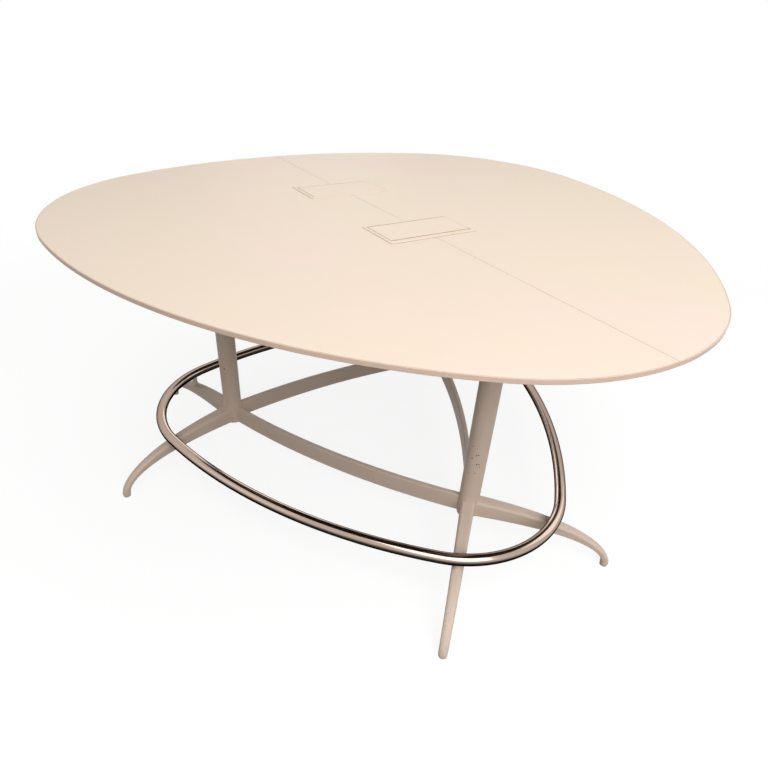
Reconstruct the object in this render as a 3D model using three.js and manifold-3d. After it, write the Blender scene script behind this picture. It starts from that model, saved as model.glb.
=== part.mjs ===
// Standing-height conference table: a three-cornered top in two halves on three columns,
// splayed arched legs, bowed stretchers, a round foot ring and two flip-up power hatches.
// Millimetres, +Z up, floor at z = 0, the front corner of the top towards -Y.

import * as THREE from "three";
import { mergeVertices } from "three/addons/utils/BufferGeometryUtils.js";
import Module from "manifold-3d";

const wasm = await Module();
wasm.setup();

// Gap kept between neighbouring pieces
const CLEARANCE = 0.3;

// Top: reaches are measured from the axis that the three columns stand round, and a corner
// share is the corner's radius as a share of the one that would leave the sides straight
const TABLE_HEIGHT = 980;
const TOP_CORNER_REACH = 1101;
const TOP_SIDE_REACH = 957;
const TOP_CORNER_SHARE = 0.7934;
const TOP_THICKNESS = 28;
const TOP_LIP = 12.5;
const TOP_UNDERCUT = 45;
const EDGE_BAND_THICKNESS = 3;
const EDGE_BAND_ROUND = 1.5;
const SEAM_GAP = 0.4;

// Seam fittings, by their places along the seam
const DOWEL_PLACES = { front: -800, centre: 84, middle: -400, rear: 780 };
const DOWEL_DIAMETER = 10;
const DOWEL_LENGTH = 60;
const SEAM_BOLT_PLACES = { front: -320, centre: 150, rear: 620 };
const SEAM_BOLT_DIAMETER = 8;
const SEAM_BOLT_SPAN = 90;
const SEAM_NUT_DIAMETER = 28;
const SEAM_NUT_HEIGHT = 14;
const SEAM_BOLT_COVER = 11;

// Power hatches, by the place of each lid's middle along the seam
const FRONT_HATCH_PLACE = -166;
const REAR_HATCH_PLACE = 340;
const LID_LENGTH = 297;
const LID_DEPTH = 138;
const LID_THICKNESS = 9;
const LID_GAP = 1.2;
const LID_EDGE_CHAMFER = 3;
const CABLE_SLOT = 6;
const BEZEL_PROUD = 2.5;
const BEZEL_BORDER = 11;
const BEZEL_SLOT_BORDER = 20;
const BEZEL_EDGE_ROUND = 1;
const BEZEL_CORNER_RADIUS = 5;
const COLLAR_WALL = 4;
const COLLAR_DEPTH = 20;
const LEDGE_REACH = 7;
const LEDGE_THICKNESS = 4;
const LEDGE_LENGTH = 90;
const HINGE_PIN_DIAMETER = 4;
const BOX_DEPTH = 85;
const BOX_SHEET = 1.5;
const BOX_FLANGE = 18;
const BOX_MARGIN = 2;
const BOX_CORNER_RADIUS = 6;
const OUTLET_LENGTH = 216;
const OUTLET_BASE = 52;
const OUTLET_HEIGHT = 46;
const OUTLET_SHOULDER = 20;
const OUTLET_CROWN = 12;
const OUTLET_COUNT = 4;
const OUTLET_PITCH = 50;
const SOCKET_DIAMETER = 36;
const SOCKET_DEPTH = 3;
const GLAND_BORE = 10;
const GLAND_BODY = 20;
const GLAND_RIM = 28;
const GLAND_RIM_HEIGHT = 4;
const GLAND_NUT_HEIGHT = 7;
const GLAND_INSET = 24;

// Columns, with the cap below and the mounting plate above
const COLUMN_RADIUS_OUT = 596;
const COLUMN_DIAMETER = 70;
const COLUMN_WALL = 3;
const COLUMN_FOOT = 118;
const CAP_THICKNESS = 3;
const SPIGOT_LENGTH = 16;
const SPIGOT_BORE = 30;
const PLATE_DIAMETER = 190;
const PLATE_THICKNESS = 6;
const PLATE_HOLE_DIAMETER = 7;
const PLATE_HOLE_CIRCLE = 150;
const PLATE_HOLES = 6;

// Legs: two to a column, arched down to an upright tip
const FOOT_REACH = 1004;
const FOOT_SPREAD = 20.25;
const LEG_ROOT_TOP = 185;
const LEG_ROOT_BOTTOM = 118.5;
const LEG_ROOT_WIDTH = 49;
const LEG_ROOT_CORNER = 9;
const LEG_TIP_DIAMETER = 28;
const LEG_TOP_FALL = 14;
const LEG_ARCH_RISE = 9;
const LEG_ARCH_RUN = 64;
const LEG_INSTEP = 47;

// Stretchers between the columns, bowed outwards
const STRETCHER_BOW = 48;
const STRETCHER_WIDTH = 20;
const STRETCHER_TOP = 189;
const STRETCHER_BOTTOM = 120.5;
const STRETCHER_EDGE_ROUND = 5;

// Foot ring, the posts that carry it and their screws
const RING_CORNER_REACH = 867.5;
const RING_SIDE_REACH = 687.5;
const RING_CORNER_SHARE = 0.7468;
const RING_HEIGHT = 196;
const RING_DIAMETER = 38;
const POST_DIAMETER = 20;
const POST_FLARE = 4;
const POST_FLARE_HEIGHT = 12;
const POST_INSET = 9;
const RING_SCREW_DIAMETER = 6;
const RING_SCREW_GRIP = 10;
const RING_SCREW_HEAD_DIAMETER = 10;
const RING_SCREW_HEAD_HEIGHT = 6;
const RING_SCREW_SOCKET = 5;
const RING_SCREW_SEAT = 18;

// Screw-in glides
const GLIDE_DIAMETER = 26;
const GLIDE_HEIGHT = 9;
const GLIDE_EDGE_ROUND = 2;
const GLIDE_STEM_DIAMETER = 10;
const GLIDE_STEM_LENGTH = 20;
const GLIDE_BORE_SPARE = 3;

// Facets
const ROUND_STEPS = 20;
const SMALL_STEPS = 12;
const FINE_STEPS = 8;
const CURVE_STEPS = 2;
const CORNER_STEPS = 10;
const SIDE_STEPS = 8;
const LEG_STEPS = 11;
const LEG_CORNER_STEPS = 2;
const STRETCHER_STEPS = 5;
const TUBE_STEPS = 12;

const THIRD_TURN = (2 * Math.PI) / 3;

// A length past the whole table, a little overrun for a cutter, and limits of the arithmetic
const REACH = 4000;
const OVERRUN = 1;
const MERGE_DISTANCE = 1e-4;
const HALVINGS = 40;

// Solids

function solidOf(geometry) {
  const bare = new THREE.BufferGeometry();
  bare.setAttribute("position", geometry.getAttribute("position"));
  bare.setIndex(geometry.index);
  const merged = mergeVertices(bare, MERGE_DISTANCE);
  return new wasm.Manifold(
    new wasm.Mesh({
      numProp: 3,
      vertProperties: merged.attributes.position.array,
      triVerts: new Uint32Array(merged.index.array),
    }),
  );
}

function geometryOf(solid) {
  const mesh = solid.getMesh();
  const geometry = new THREE.BufferGeometry();
  geometry.setAttribute("position", new THREE.BufferAttribute(mesh.vertProperties, 3));
  geometry.setIndex(new THREE.BufferAttribute(mesh.triVerts, 1));
  const faceted = geometry.toNonIndexed();
  faceted.computeVertexNormals();
  return faceted;
}

function cut(body, ...tools) {
  return geometryOf(tools.reduce((left, tool) => left.subtract(solidOf(tool)), solidOf(body)));
}

function join(...bodies) {
  return geometryOf(bodies.map(solidOf).reduce((whole, body) => whole.add(body)));
}

function box(xFrom, xTo, yFrom, yTo, zFrom, zTo) {
  const geometry = new THREE.BoxGeometry(xTo - xFrom, yTo - yFrom, zTo - zFrom);
  return geometry.translate((xFrom + xTo) / 2, (yFrom + yTo) / 2, (zFrom + zTo) / 2);
}

// Upright cylinder about the point x, y
function cylinder(diameter, x, y, zFrom, zTo, steps = ROUND_STEPS) {
  const geometry = new THREE.CylinderGeometry(diameter / 2, diameter / 2, zTo - zFrom, steps);
  return geometry.rotateX(Math.PI / 2).translate(x, y, (zFrom + zTo) / 2);
}

// Cylinder along X about the point y, z
function bar(diameter, xFrom, xTo, y, z, steps = SMALL_STEPS) {
  const geometry = new THREE.CylinderGeometry(diameter / 2, diameter / 2, xTo - xFrom, steps);
  return geometry.rotateZ(Math.PI / 2).translate((xFrom + xTo) / 2, y, z);
}

// A profile of radius and height pairs turned about Z
function turned(profile, steps = ROUND_STEPS) {
  const points = profile.map(([radius, height]) => new THREE.Vector2(radius, height));
  return new THREE.LatheGeometry(points, steps).rotateX(Math.PI / 2);
}

function prism(shape, zFrom, zTo, curveSegments = CURVE_STEPS) {
  const options = { depth: zTo - zFrom, bevelEnabled: false, curveSegments };
  return new THREE.ExtrudeGeometry(shape, options).translate(0, 0, zFrom);
}

// A prism whose top and bottom edges are rounded, within the same outer size
function softPrism(shape, zFrom, zTo, round, curveSegments, roundSteps) {
  const options = {
    depth: zTo - zFrom - 2 * round,
    bevelSize: round,
    bevelOffset: -round,
    bevelThickness: round,
    bevelSegments: roundSteps,
    curveSegments,
  };
  return new THREE.ExtrudeGeometry(shape, options).translate(0, 0, zFrom + round);
}

// A profile drawn in Y and Z, run along X
function alongX(shape, xFrom, xTo, curveSegments = SMALL_STEPS / 2) {
  const axes = new THREE.Matrix4().makeBasis(
    new THREE.Vector3(0, 1, 0),
    new THREE.Vector3(0, 0, 1),
    new THREE.Vector3(1, 0, 0),
  );
  return prism(shape, xFrom, xTo, curveSegments).applyMatrix4(axes);
}

function roundedRectangle(xFrom, xTo, yFrom, yTo, radius) {
  const shape = new THREE.Shape();
  shape.absarc(xTo - radius, yTo - radius, radius, 0, Math.PI / 2);
  shape.absarc(xFrom + radius, yTo - radius, radius, Math.PI / 2, Math.PI);
  shape.absarc(xFrom + radius, yFrom + radius, radius, Math.PI, 1.5 * Math.PI);
  shape.absarc(xTo - radius, yFrom + radius, radius, 1.5 * Math.PI, 2 * Math.PI);
  return shape;
}

// Skin over a row of rings of points; a closed row runs back into its first ring
function loft(rings, closed = false) {
  const size = rings[0].length;
  const spans = closed ? rings.length : rings.length - 1;
  const corner = (ring, point) => (ring % rings.length) * size + (point % size);
  const faces = [];
  for (let ring = 0; ring < spans; ring++) {
    for (let point = 0; point < size; point++) {
      const here = corner(ring, point);
      const next = corner(ring, point + 1);
      const beyond = corner(ring + 1, point + 1);
      const above = corner(ring + 1, point);
      faces.push(here, next, beyond, here, beyond, above);
    }
  }
  if (!closed) {
    const last = rings.length - 1;
    for (let point = 1; point < size - 1; point++) {
      faces.push(corner(0, 0), corner(0, point + 1), corner(0, point));
      faces.push(corner(last, 0), corner(last, point), corner(last, point + 1));
    }
  }
  const geometry = new THREE.BufferGeometry().setFromPoints(rings.flat());
  geometry.setIndex(faces);
  return geometry;
}

// Outlines of the top and the ring

// A triangle of three corner arcs, each running into a bowed side at a common tangent
function bowedTriangle(cornerReach, sideReach, cornerShare) {
  const cornerRadius = cornerShare * (2 * sideReach - cornerReach);
  const cornerCentre = cornerReach - cornerRadius;
  const sideExtra = sideReach - cornerRadius;
  const sideCentre = (sideExtra ** 2 - cornerCentre ** 2) / (cornerCentre - 2 * sideExtra);
  const halfSweep = Math.atan2(
    sideCentre * Math.sin(THIRD_TURN / 2),
    cornerCentre + sideCentre * Math.cos(THIRD_TURN / 2),
  );
  return { cornerCentre, cornerRadius, sideCentre, sideRadius: sideReach + sideCentre, halfSweep };
}

// Points round that triangle, anticlockwise from its first corner, with the way out at each
function outline(form, heading) {
  const points = [];
  const arc = (centreReach, centreAngle, radius, from, to, steps) => {
    for (let step = 0; step < steps; step++) {
      const angle = from + ((to - from) * step) / steps;
      const outward = new THREE.Vector3(Math.cos(angle), Math.sin(angle), 0);
      const centre = new THREE.Vector3(Math.cos(centreAngle), Math.sin(centreAngle), 0);
      points.push({ place: centre.multiplyScalar(centreReach).addScaledVector(outward, radius), outward });
    }
  };
  for (let corner = 0; corner < 3; corner++) {
    const angle = heading + corner * THIRD_TURN;
    const swept = angle + form.halfSweep;
    const side = angle + THIRD_TURN / 2;
    arc(form.cornerCentre, angle, form.cornerRadius, angle - form.halfSweep, swept, CORNER_STEPS);
    arc(-form.sideCentre, side, form.sideRadius, swept, angle + THIRD_TURN - form.halfSweep, SIDE_STEPS);
  }
  return points;
}

// A point of an outline moved in by inset and set at height z
function inside({ place, outward }, inset, z) {
  return place.clone().addScaledVector(outward, -inset).setZ(z);
}

// Meshes

const FINISHES = {
  laminate: { color: 0xf3eadb, roughness: 0.45, metalness: 0 },
  edge: { color: 0xd8c9b8, roughness: 0.5, metalness: 0 },
  paint: { color: 0xb9aa9c, roughness: 0.4, metalness: 0.1 },
  polished: { color: 0xd9d4cd, roughness: 0.12, metalness: 1 },
  steel: { color: 0x9a9a98, roughness: 0.35, metalness: 1 },
  sheet: { color: 0x3a3937, roughness: 0.6, metalness: 0.3 },
  outlet: { color: 0x2b2a29, roughness: 0.45, metalness: 0 },
  beech: { color: 0xc9a77c, roughness: 0.8, metalness: 0 },
  nylon: { color: 0xe6ddd0, roughness: 0.55, metalness: 0 },
};

function piece(parent, name, geometry, finish) {
  const mesh = new THREE.Mesh(geometry, new THREE.MeshStandardMaterial(FINISHES[finish]));
  mesh.name = name;
  parent.add(mesh);
  return mesh;
}

const degrees = THREE.MathUtils.degToRad;

const table = new THREE.Group();
table.position.y = (TOP_CORNER_REACH - TOP_SIDE_REACH) / 2;

// Sizes shared by several pieces
const topUnderside = TABLE_HEIGHT - TOP_THICKNESS;
const columnRadius = COLUMN_DIAMETER / 2;
const columnBore = COLUMN_DIAMETER - 2 * COLUMN_WALL;
const spigotDiameter = columnBore - 2 * CLEARANCE;
const plateTop = topUnderside - CLEARANCE;
const plateBottom = plateTop - PLATE_THICKNESS;
const columnBottom = COLUMN_FOOT + CAP_THICKNESS + CLEARANCE;
const columnTop = plateBottom - CLEARANCE;
const frontHeading = degrees(-90);

// Hatch sizes, in the hatch's own frame: z = 0 is the table's surface, hinge on the -Y side
const lidTop = BEZEL_PROUD;
const lidBottom = lidTop - LID_THICKNESS;
const hingeHeight = lidTop - LID_THICKNESS / 2;
const hingePlace = -LID_DEPTH / 2 + LID_THICKNESS / 2;
const wellX = LID_LENGTH / 2 + LID_GAP;
const wellInner = -LID_DEPTH / 2 - LID_GAP;
const wellOuter = LID_DEPTH / 2 + CABLE_SLOT;

// A rectangle round the well, grown on every side
function wellRectangle(growth, radius) {
  return roundedRectangle(-wellX - growth, wellX + growth, wellInner - growth, wellOuter + growth, radius);
}

function wellBox(growth, zFrom, zTo) {
  return box(-wellX - growth, wellX + growth, wellInner - growth, wellOuter + growth, zFrom, zTo);
}

// The two hatches share one design, turned so that each hinge faces the middle of the table
const HATCHES = [
  { name: "front", place: FRONT_HATCH_PLACE, turn: Math.PI },
  { name: "rear", place: REAR_HATCH_PLACE, turn: 0 },
];

// Top

const topForm = bowedTriangle(TOP_CORNER_REACH, TOP_SIDE_REACH, TOP_CORNER_SHARE);
const topOutline = outline(topForm, frontHeading);
const seamHeight = topUnderside + TOP_THICKNESS / 2;
const seamBoltHeight = topUnderside + SEAM_BOLT_COVER;

function panelCore() {
  const inset = EDGE_BAND_THICKNESS + CLEARANCE;
  const sections = [
    [TOP_UNDERCUT, topUnderside],
    [inset, TABLE_HEIGHT - TOP_LIP],
    [inset, TABLE_HEIGHT],
  ];
  return loft(sections.map(([inward, z]) => topOutline.map((point) => inside(point, inward, z))));
}

function edgeBandLoop() {
  const lipBottom = TABLE_HEIGHT - TOP_LIP;
  const section = [
    [EDGE_BAND_THICKNESS, lipBottom],
    [EDGE_BAND_THICKNESS, TABLE_HEIGHT],
    [EDGE_BAND_ROUND, TABLE_HEIGHT],
    [EDGE_BAND_ROUND * (1 - Math.SQRT1_2), TABLE_HEIGHT - EDGE_BAND_ROUND * (1 - Math.SQRT1_2)],
    [0, TABLE_HEIGHT - EDGE_BAND_ROUND],
    [0, lipBottom],
  ];
  return loft(
    topOutline.map((point) => section.map(([inset, z]) => inside(point, inset, z))),
    true,
  );
}

// All that lies on the other side of the seam
function beyondSeam(side) {
  const edge = (side * SEAM_GAP) / 2;
  const far = -side * REACH;
  return box(Math.min(edge, far), Math.max(edge, far), -REACH, REACH, -REACH, REACH);
}

function hatchCutouts() {
  return HATCHES.map(({ place, turn }) =>
    wellBox(COLLAR_WALL + CLEARANCE, -REACH, REACH).rotateZ(turn).translate(0, place, 0),
  );
}

function dowelBores() {
  const length = DOWEL_LENGTH / 2 + CLEARANCE;
  return Object.values(DOWEL_PLACES).map((place) =>
    bar(DOWEL_DIAMETER + 2 * CLEARANCE, -length, length, place, seamHeight),
  );
}

// Pockets open to the underside, for the nuts and the rod between them
function seamBoltPockets(place) {
  const roof = seamBoltHeight + SEAM_NUT_HEIGHT / 2 + CLEARANCE;
  const floor = topUnderside - CLEARANCE;
  const slot = SEAM_BOLT_DIAMETER / 2 + CLEARANCE;
  const nut = SEAM_NUT_DIAMETER + 2 * CLEARANCE;
  const half = SEAM_BOLT_SPAN / 2;
  return [
    box(-half, half, place - slot, place + slot, floor, seamBoltHeight + slot),
    cylinder(nut, -half, place, floor, roof, SMALL_STEPS),
    cylinder(nut, half, place, floor, roof, SMALL_STEPS),
  ];
}

for (const [name, side] of [["left", -1], ["right", 1]]) {
  const pockets = Object.values(SEAM_BOLT_PLACES).flatMap(seamBoltPockets);
  const openings = [...hatchCutouts(), ...dowelBores(), ...pockets];
  piece(table, `top_panel_${name}`, cut(panelCore(), beyondSeam(side), ...openings), "laminate");
  piece(table, `edge_band_${name}`, cut(edgeBandLoop(), beyondSeam(side)), "edge");
}

for (const [name, place] of Object.entries(DOWEL_PLACES)) {
  const half = DOWEL_LENGTH / 2;
  piece(table, `seam_dowel_${name}`, bar(DOWEL_DIAMETER, -half, half, place, seamHeight), "beech");
}

for (const [name, place] of Object.entries(SEAM_BOLT_PLACES)) {
  const half = SEAM_BOLT_SPAN / 2;
  const bottom = seamBoltHeight - SEAM_NUT_HEIGHT / 2;
  const nuts = [-half, half].map((x) =>
    cylinder(SEAM_NUT_DIAMETER, x, place, bottom, bottom + SEAM_NUT_HEIGHT, SMALL_STEPS),
  );
  const rod = bar(SEAM_BOLT_DIAMETER, -half, half, place, seamBoltHeight, FINE_STEPS);
  piece(table, `seam_bolt_${name}`, join(rod, ...nuts), "steel");
}

// Power hatches

function bezel() {
  const well = wellBox(0, -COLLAR_DEPTH - OVERRUN, BEZEL_PROUD + OVERRUN);
  const side = wellX + BEZEL_BORDER;
  const back = wellInner - BEZEL_BORDER;
  const rim = roundedRectangle(-side, side, back, wellOuter + BEZEL_SLOT_BORDER, BEZEL_CORNER_RADIUS);
  const flange = softPrism(rim, CLEARANCE, BEZEL_PROUD, BEZEL_EDGE_ROUND, CURVE_STEPS, 1);
  const collar = wellBox(COLLAR_WALL, -COLLAR_DEPTH, BEZEL_PROUD / 2);
  const ledgeTop = lidBottom - CLEARANCE;
  const ledge = (from, to) =>
    box(from, to, -LEDGE_LENGTH / 2, LEDGE_LENGTH / 2, ledgeTop - LEDGE_THICKNESS, ledgeTop);
  const reach = wellX - LEDGE_REACH;
  const sunk = wellX + COLLAR_WALL / 2;
  const frame = cut(join(flange, collar), well);
  const pinBore = bar(HINGE_PIN_DIAMETER + 2 * CLEARANCE, -REACH, REACH, hingePlace, hingeHeight);
  return cut(join(frame, ledge(-sunk, -reach), ledge(reach, sunk)), pinBore);
}

// Plate with a round hinge edge, bored for the pin, and an undercut finger edge
function lid() {
  const radius = LID_THICKNESS / 2;
  const outer = LID_DEPTH / 2;
  const profile = new THREE.Shape();
  profile.absarc(hingePlace, hingeHeight, radius, Math.PI / 2, 1.5 * Math.PI);
  profile.lineTo(outer - LID_EDGE_CHAMFER, lidBottom);
  profile.lineTo(outer, lidBottom + LID_EDGE_CHAMFER);
  profile.lineTo(outer, lidTop);
  const bore = new THREE.Path();
  bore.absarc(hingePlace, hingeHeight, HINGE_PIN_DIAMETER / 2 + CLEARANCE, 0, 2 * Math.PI);
  profile.holes.push(bore);
  return alongX(profile, -LID_LENGTH / 2, LID_LENGTH / 2);
}

function hingePin() {
  const end = wellX + COLLAR_WALL;
  return bar(HINGE_PIN_DIAMETER, -end, end, hingePlace, hingeHeight);
}

const boxTop = -TOP_THICKNESS - CLEARANCE;
const boxFloorTop = boxTop - BOX_DEPTH;
const boxGrowth = COLLAR_WALL + BOX_MARGIN;
const boxInner = wellInner - boxGrowth;
const outletEnd = wellX + boxGrowth - BOX_CORNER_RADIUS;
const glandX = wellX + boxGrowth - GLAND_INSET;
const glandY = boxInner + GLAND_INSET;

// Folded sheet tub with a flange under the top
function powerBox() {
  const skirt = prism(
    wellRectangle(boxGrowth + BOX_SHEET, BOX_CORNER_RADIUS + BOX_SHEET),
    boxFloorTop - BOX_SHEET,
    boxTop,
  );
  const flange = prism(
    wellRectangle(boxGrowth + BOX_FLANGE, BOX_CORNER_RADIUS),
    boxTop - BOX_SHEET,
    boxTop,
  );
  const hollow = prism(wellRectangle(boxGrowth, BOX_CORNER_RADIUS), boxFloorTop, boxTop + OVERRUN);
  const glandHole = cylinder(GLAND_BODY + 2 * CLEARANCE, glandX, glandY, -REACH, 0);
  return cut(join(skirt, flange), hollow, glandHole);
}

// Outlet strip standing on the floor of the box, its sloped face towards the cable slot
function outletStrip() {
  const floor = boxFloorTop + CLEARANCE;
  const back = boxInner + CLEARANCE;
  const profile = new THREE.Shape();
  profile.moveTo(back, floor);
  profile.lineTo(back + OUTLET_BASE, floor);
  profile.lineTo(back + OUTLET_BASE, floor + OUTLET_SHOULDER);
  profile.lineTo(back + OUTLET_CROWN, floor + OUTLET_HEIGHT);
  profile.lineTo(back, floor + OUTLET_HEIGHT);
  const body = alongX(profile, -outletEnd, -outletEnd + OUTLET_LENGTH);
  const run = OUTLET_BASE - OUTLET_CROWN;
  const rise = OUTLET_HEIGHT - OUTLET_SHOULDER;
  const slope = Math.atan2(rise, run);
  const sockets = [];
  for (let index = 0; index < OUTLET_COUNT; index++) {
    const x = -outletEnd + OUTLET_LENGTH / 2 + (index - (OUTLET_COUNT - 1) / 2) * OUTLET_PITCH;
    const socket = cylinder(SOCKET_DIAMETER, 0, 0, -SOCKET_DEPTH, OUTLET_HEIGHT, SMALL_STEPS).rotateX(-slope);
    const y = back + OUTLET_CROWN + run / 2;
    sockets.push(socket.translate(x, y, floor + OUTLET_SHOULDER + rise / 2));
  }
  return cut(body, ...sockets);
}

// Bushing through the floor of the box, clamped by its nut below
function cableGland() {
  const above = boxFloorTop + CLEARANCE;
  const below = boxFloorTop - BOX_SHEET - CLEARANCE;
  const bore = GLAND_BORE / 2;
  const body = GLAND_BODY / 2;
  const rim = GLAND_RIM / 2;
  const profile = [
    [bore, below - GLAND_NUT_HEIGHT],
    [rim, below - GLAND_NUT_HEIGHT],
    [rim, below],
    [body, below],
    [body, above],
    [rim, above],
    [rim, above + GLAND_RIM_HEIGHT],
    [bore, above + GLAND_RIM_HEIGHT],
    [bore, below - GLAND_NUT_HEIGHT],
  ];
  return turned(profile, SMALL_STEPS).translate(glandX, glandY, 0);
}

for (const { name, place, turn } of HATCHES) {
  const hatch = new THREE.Group();
  hatch.position.set(0, place, TABLE_HEIGHT);
  hatch.rotation.z = turn;
  table.add(hatch);
  piece(hatch, `${name}_hatch_bezel`, bezel(), "laminate");
  piece(hatch, `${name}_hatch_lid`, lid(), "laminate");
  piece(hatch, `${name}_hinge_pin`, hingePin(), "steel");
  piece(hatch, `${name}_power_box`, powerBox(), "sheet");
  piece(hatch, `${name}_outlet_strip`, outletStrip(), "outlet");
  piece(hatch, `${name}_cable_gland`, cableGland(), "outlet");
}

// Columns

function column() {
  const tube = new THREE.Shape();
  tube.absarc(0, 0, columnRadius, 0, 2 * Math.PI);
  const bore = new THREE.Path();
  bore.absarc(0, 0, columnBore / 2, 0, 2 * Math.PI);
  tube.holes.push(bore);
  return prism(tube, columnBottom, columnTop, ROUND_STEPS / 2).translate(COLUMN_RADIUS_OUT, 0, 0);
}

// Plug in the foot of the column
function columnCap() {
  const bottom = COLUMN_FOOT;
  const shoulder = COLUMN_FOOT + CAP_THICKNESS;
  const top = shoulder + SPIGOT_LENGTH;
  const profile = [
    [0, bottom],
    [columnRadius - CAP_THICKNESS / 2, bottom],
    [columnRadius, bottom + CAP_THICKNESS / 2],
    [columnRadius, shoulder],
    [spigotDiameter / 2, shoulder],
    [spigotDiameter / 2, top],
    [0, top],
  ];
  return turned(profile).translate(COLUMN_RADIUS_OUT, 0, 0);
}

// Round plate under the top with a spigot into the column and a circle of screw holes
function mountingPlate() {
  const plate = cylinder(PLATE_DIAMETER, 0, 0, plateBottom, plateTop);
  const spigot = cylinder(spigotDiameter, 0, 0, plateBottom - SPIGOT_LENGTH, plateTop - PLATE_THICKNESS / 2);
  const holes = [cylinder(SPIGOT_BORE, 0, 0, -REACH, plateBottom, SMALL_STEPS)];
  for (let index = 0; index < PLATE_HOLES; index++) {
    const angle = ((index + 0.5) / PLATE_HOLES) * 2 * Math.PI;
    const x = (PLATE_HOLE_CIRCLE / 2) * Math.cos(angle);
    const y = (PLATE_HOLE_CIRCLE / 2) * Math.sin(angle);
    holes.push(cylinder(PLATE_HOLE_DIAMETER, x, y, 0, REACH, FINE_STEPS));
  }
  return cut(join(plate, spigot), ...holes).translate(COLUMN_RADIUS_OUT, 0, 0);
}

// Room round the column for what butts against it
function columnCope() {
  return cylinder(COLUMN_DIAMETER + 2 * CLEARANCE, COLUMN_RADIUS_OUT, 0, 0, TABLE_HEIGHT);
}

// Foot ring

const ringForm = bowedTriangle(RING_CORNER_REACH, RING_SIDE_REACH, RING_CORNER_SHARE);

function ringTube(diameter, heading) {
  const up = new THREE.Vector3(0, 0, 1);
  const rings = outline(ringForm, heading).map(({ place, outward }) => {
    const ring = [];
    for (let step = 0; step < TUBE_STEPS; step++) {
      const angle = (step / TUBE_STEPS) * 2 * Math.PI;
      const point = place.clone().addScaledVector(up, RING_HEIGHT + (diameter / 2) * Math.cos(angle));
      ring.push(point.addScaledVector(outward, (diameter / 2) * Math.sin(angle)));
    }
    return ring;
  });
  return loft(rings, true);
}

// Legs, in a frame whose X axis points from the table's axis to the column

const footX = FOOT_REACH * Math.cos(degrees(FOOT_SPREAD));
const footY = FOOT_REACH * Math.sin(degrees(FOOT_SPREAD));
const legLength = Math.hypot(footX - COLUMN_RADIUS_OUT, footY);
const legAngle = Math.atan2(footY, footX - COLUMN_RADIUS_OUT);
const legTipBottom = GLIDE_HEIGHT + CLEARANCE;

// Outer and inner lines of a leg seen from the side: distance from the column, and height
const legOuterX = legLength + LEG_TIP_DIAMETER / 2;
const legInnerX = legLength - LEG_TIP_DIAMETER / 2;
const legTopLine = new THREE.CubicBezierCurve(
  new THREE.Vector2(0, LEG_ROOT_TOP),
  new THREE.Vector2(legOuterX, LEG_ROOT_TOP - LEG_TOP_FALL),
  new THREE.Vector2(legOuterX, legTipBottom),
  new THREE.Vector2(legOuterX, legTipBottom),
);
const legBottomLine = new THREE.CubicBezierCurve(
  new THREE.Vector2(0, LEG_ROOT_BOTTOM),
  new THREE.Vector2(legInnerX - LEG_ARCH_RUN, LEG_ROOT_BOTTOM + LEG_ARCH_RISE),
  new THREE.Vector2(legInnerX, legTipBottom + LEG_INSTEP),
  new THREE.Vector2(legInnerX, legTipBottom),
);

// Where the ring's centre line passes over the leg, and the post a little inside it, from the column
const cornerLead = COLUMN_RADIUS_OUT - ringForm.cornerCentre;
const crossing =
  Math.sqrt(ringForm.cornerRadius ** 2 - (cornerLead * Math.sin(legAngle)) ** 2) -
  cornerLead * Math.cos(legAngle);
const postReach = crossing - POST_INSET;
const postX = COLUMN_RADIUS_OUT + postReach * Math.cos(legAngle);
const postY = postReach * Math.sin(legAngle);

// Height of one of the leg's lines at a distance from the column
function heightAt(line, distance) {
  let low = 0;
  let high = 1;
  for (let round = 0; round < HALVINGS; round++) {
    const middle = (low + high) / 2;
    if (line.getPoint(middle).x < distance) low = middle;
    else high = middle;
  }
  return line.getPoint(low).y;
}

const postFoot = heightAt(legTopLine, postReach);
const postTop = RING_HEIGHT - RING_DIAMETER / 4;
const screwSeat = heightAt(legBottomLine, postReach) + RING_SCREW_SEAT;
const screwTop = RING_HEIGHT - RING_DIAMETER / 2 + RING_SCREW_GRIP;

// Rounded rectangle between a point of the lower line and one of the upper line
function legSection(t) {
  const top = legTopLine.getPoint(t);
  const bottom = legBottomLine.getPoint(t);
  const middle = top.clone().add(bottom).multiplyScalar(0.5);
  const halfDepth = top.distanceTo(bottom) / 2;
  const across = top.clone().sub(bottom).normalize();
  const along = THREE.MathUtils.clamp(middle.x / legLength, 0, 1);
  const halfWidth = THREE.MathUtils.lerp(LEG_ROOT_WIDTH, LEG_TIP_DIAMETER, along) / 2;
  const wanted = THREE.MathUtils.lerp(LEG_ROOT_CORNER, LEG_TIP_DIAMETER / 2, along);
  const radius = Math.min(wanted, halfWidth - CLEARANCE, halfDepth - CLEARANCE);
  const points = [];
  for (let quarter = 0; quarter < 4; quarter++) {
    const sideSign = quarter === 0 || quarter === 3 ? 1 : -1;
    const depthSign = quarter < 2 ? 1 : -1;
    for (let step = 0; step <= LEG_CORNER_STEPS; step++) {
      const angle = ((quarter + step / LEG_CORNER_STEPS) * Math.PI) / 2;
      const y = sideSign * (halfWidth - radius) + radius * Math.cos(angle);
      const depth = depthSign * (halfDepth - radius) + radius * Math.sin(angle);
      const point = middle.clone().addScaledVector(across, depth);
      points.push(new THREE.Vector3(point.x, y, point.y));
    }
  }
  return points;
}

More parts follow.
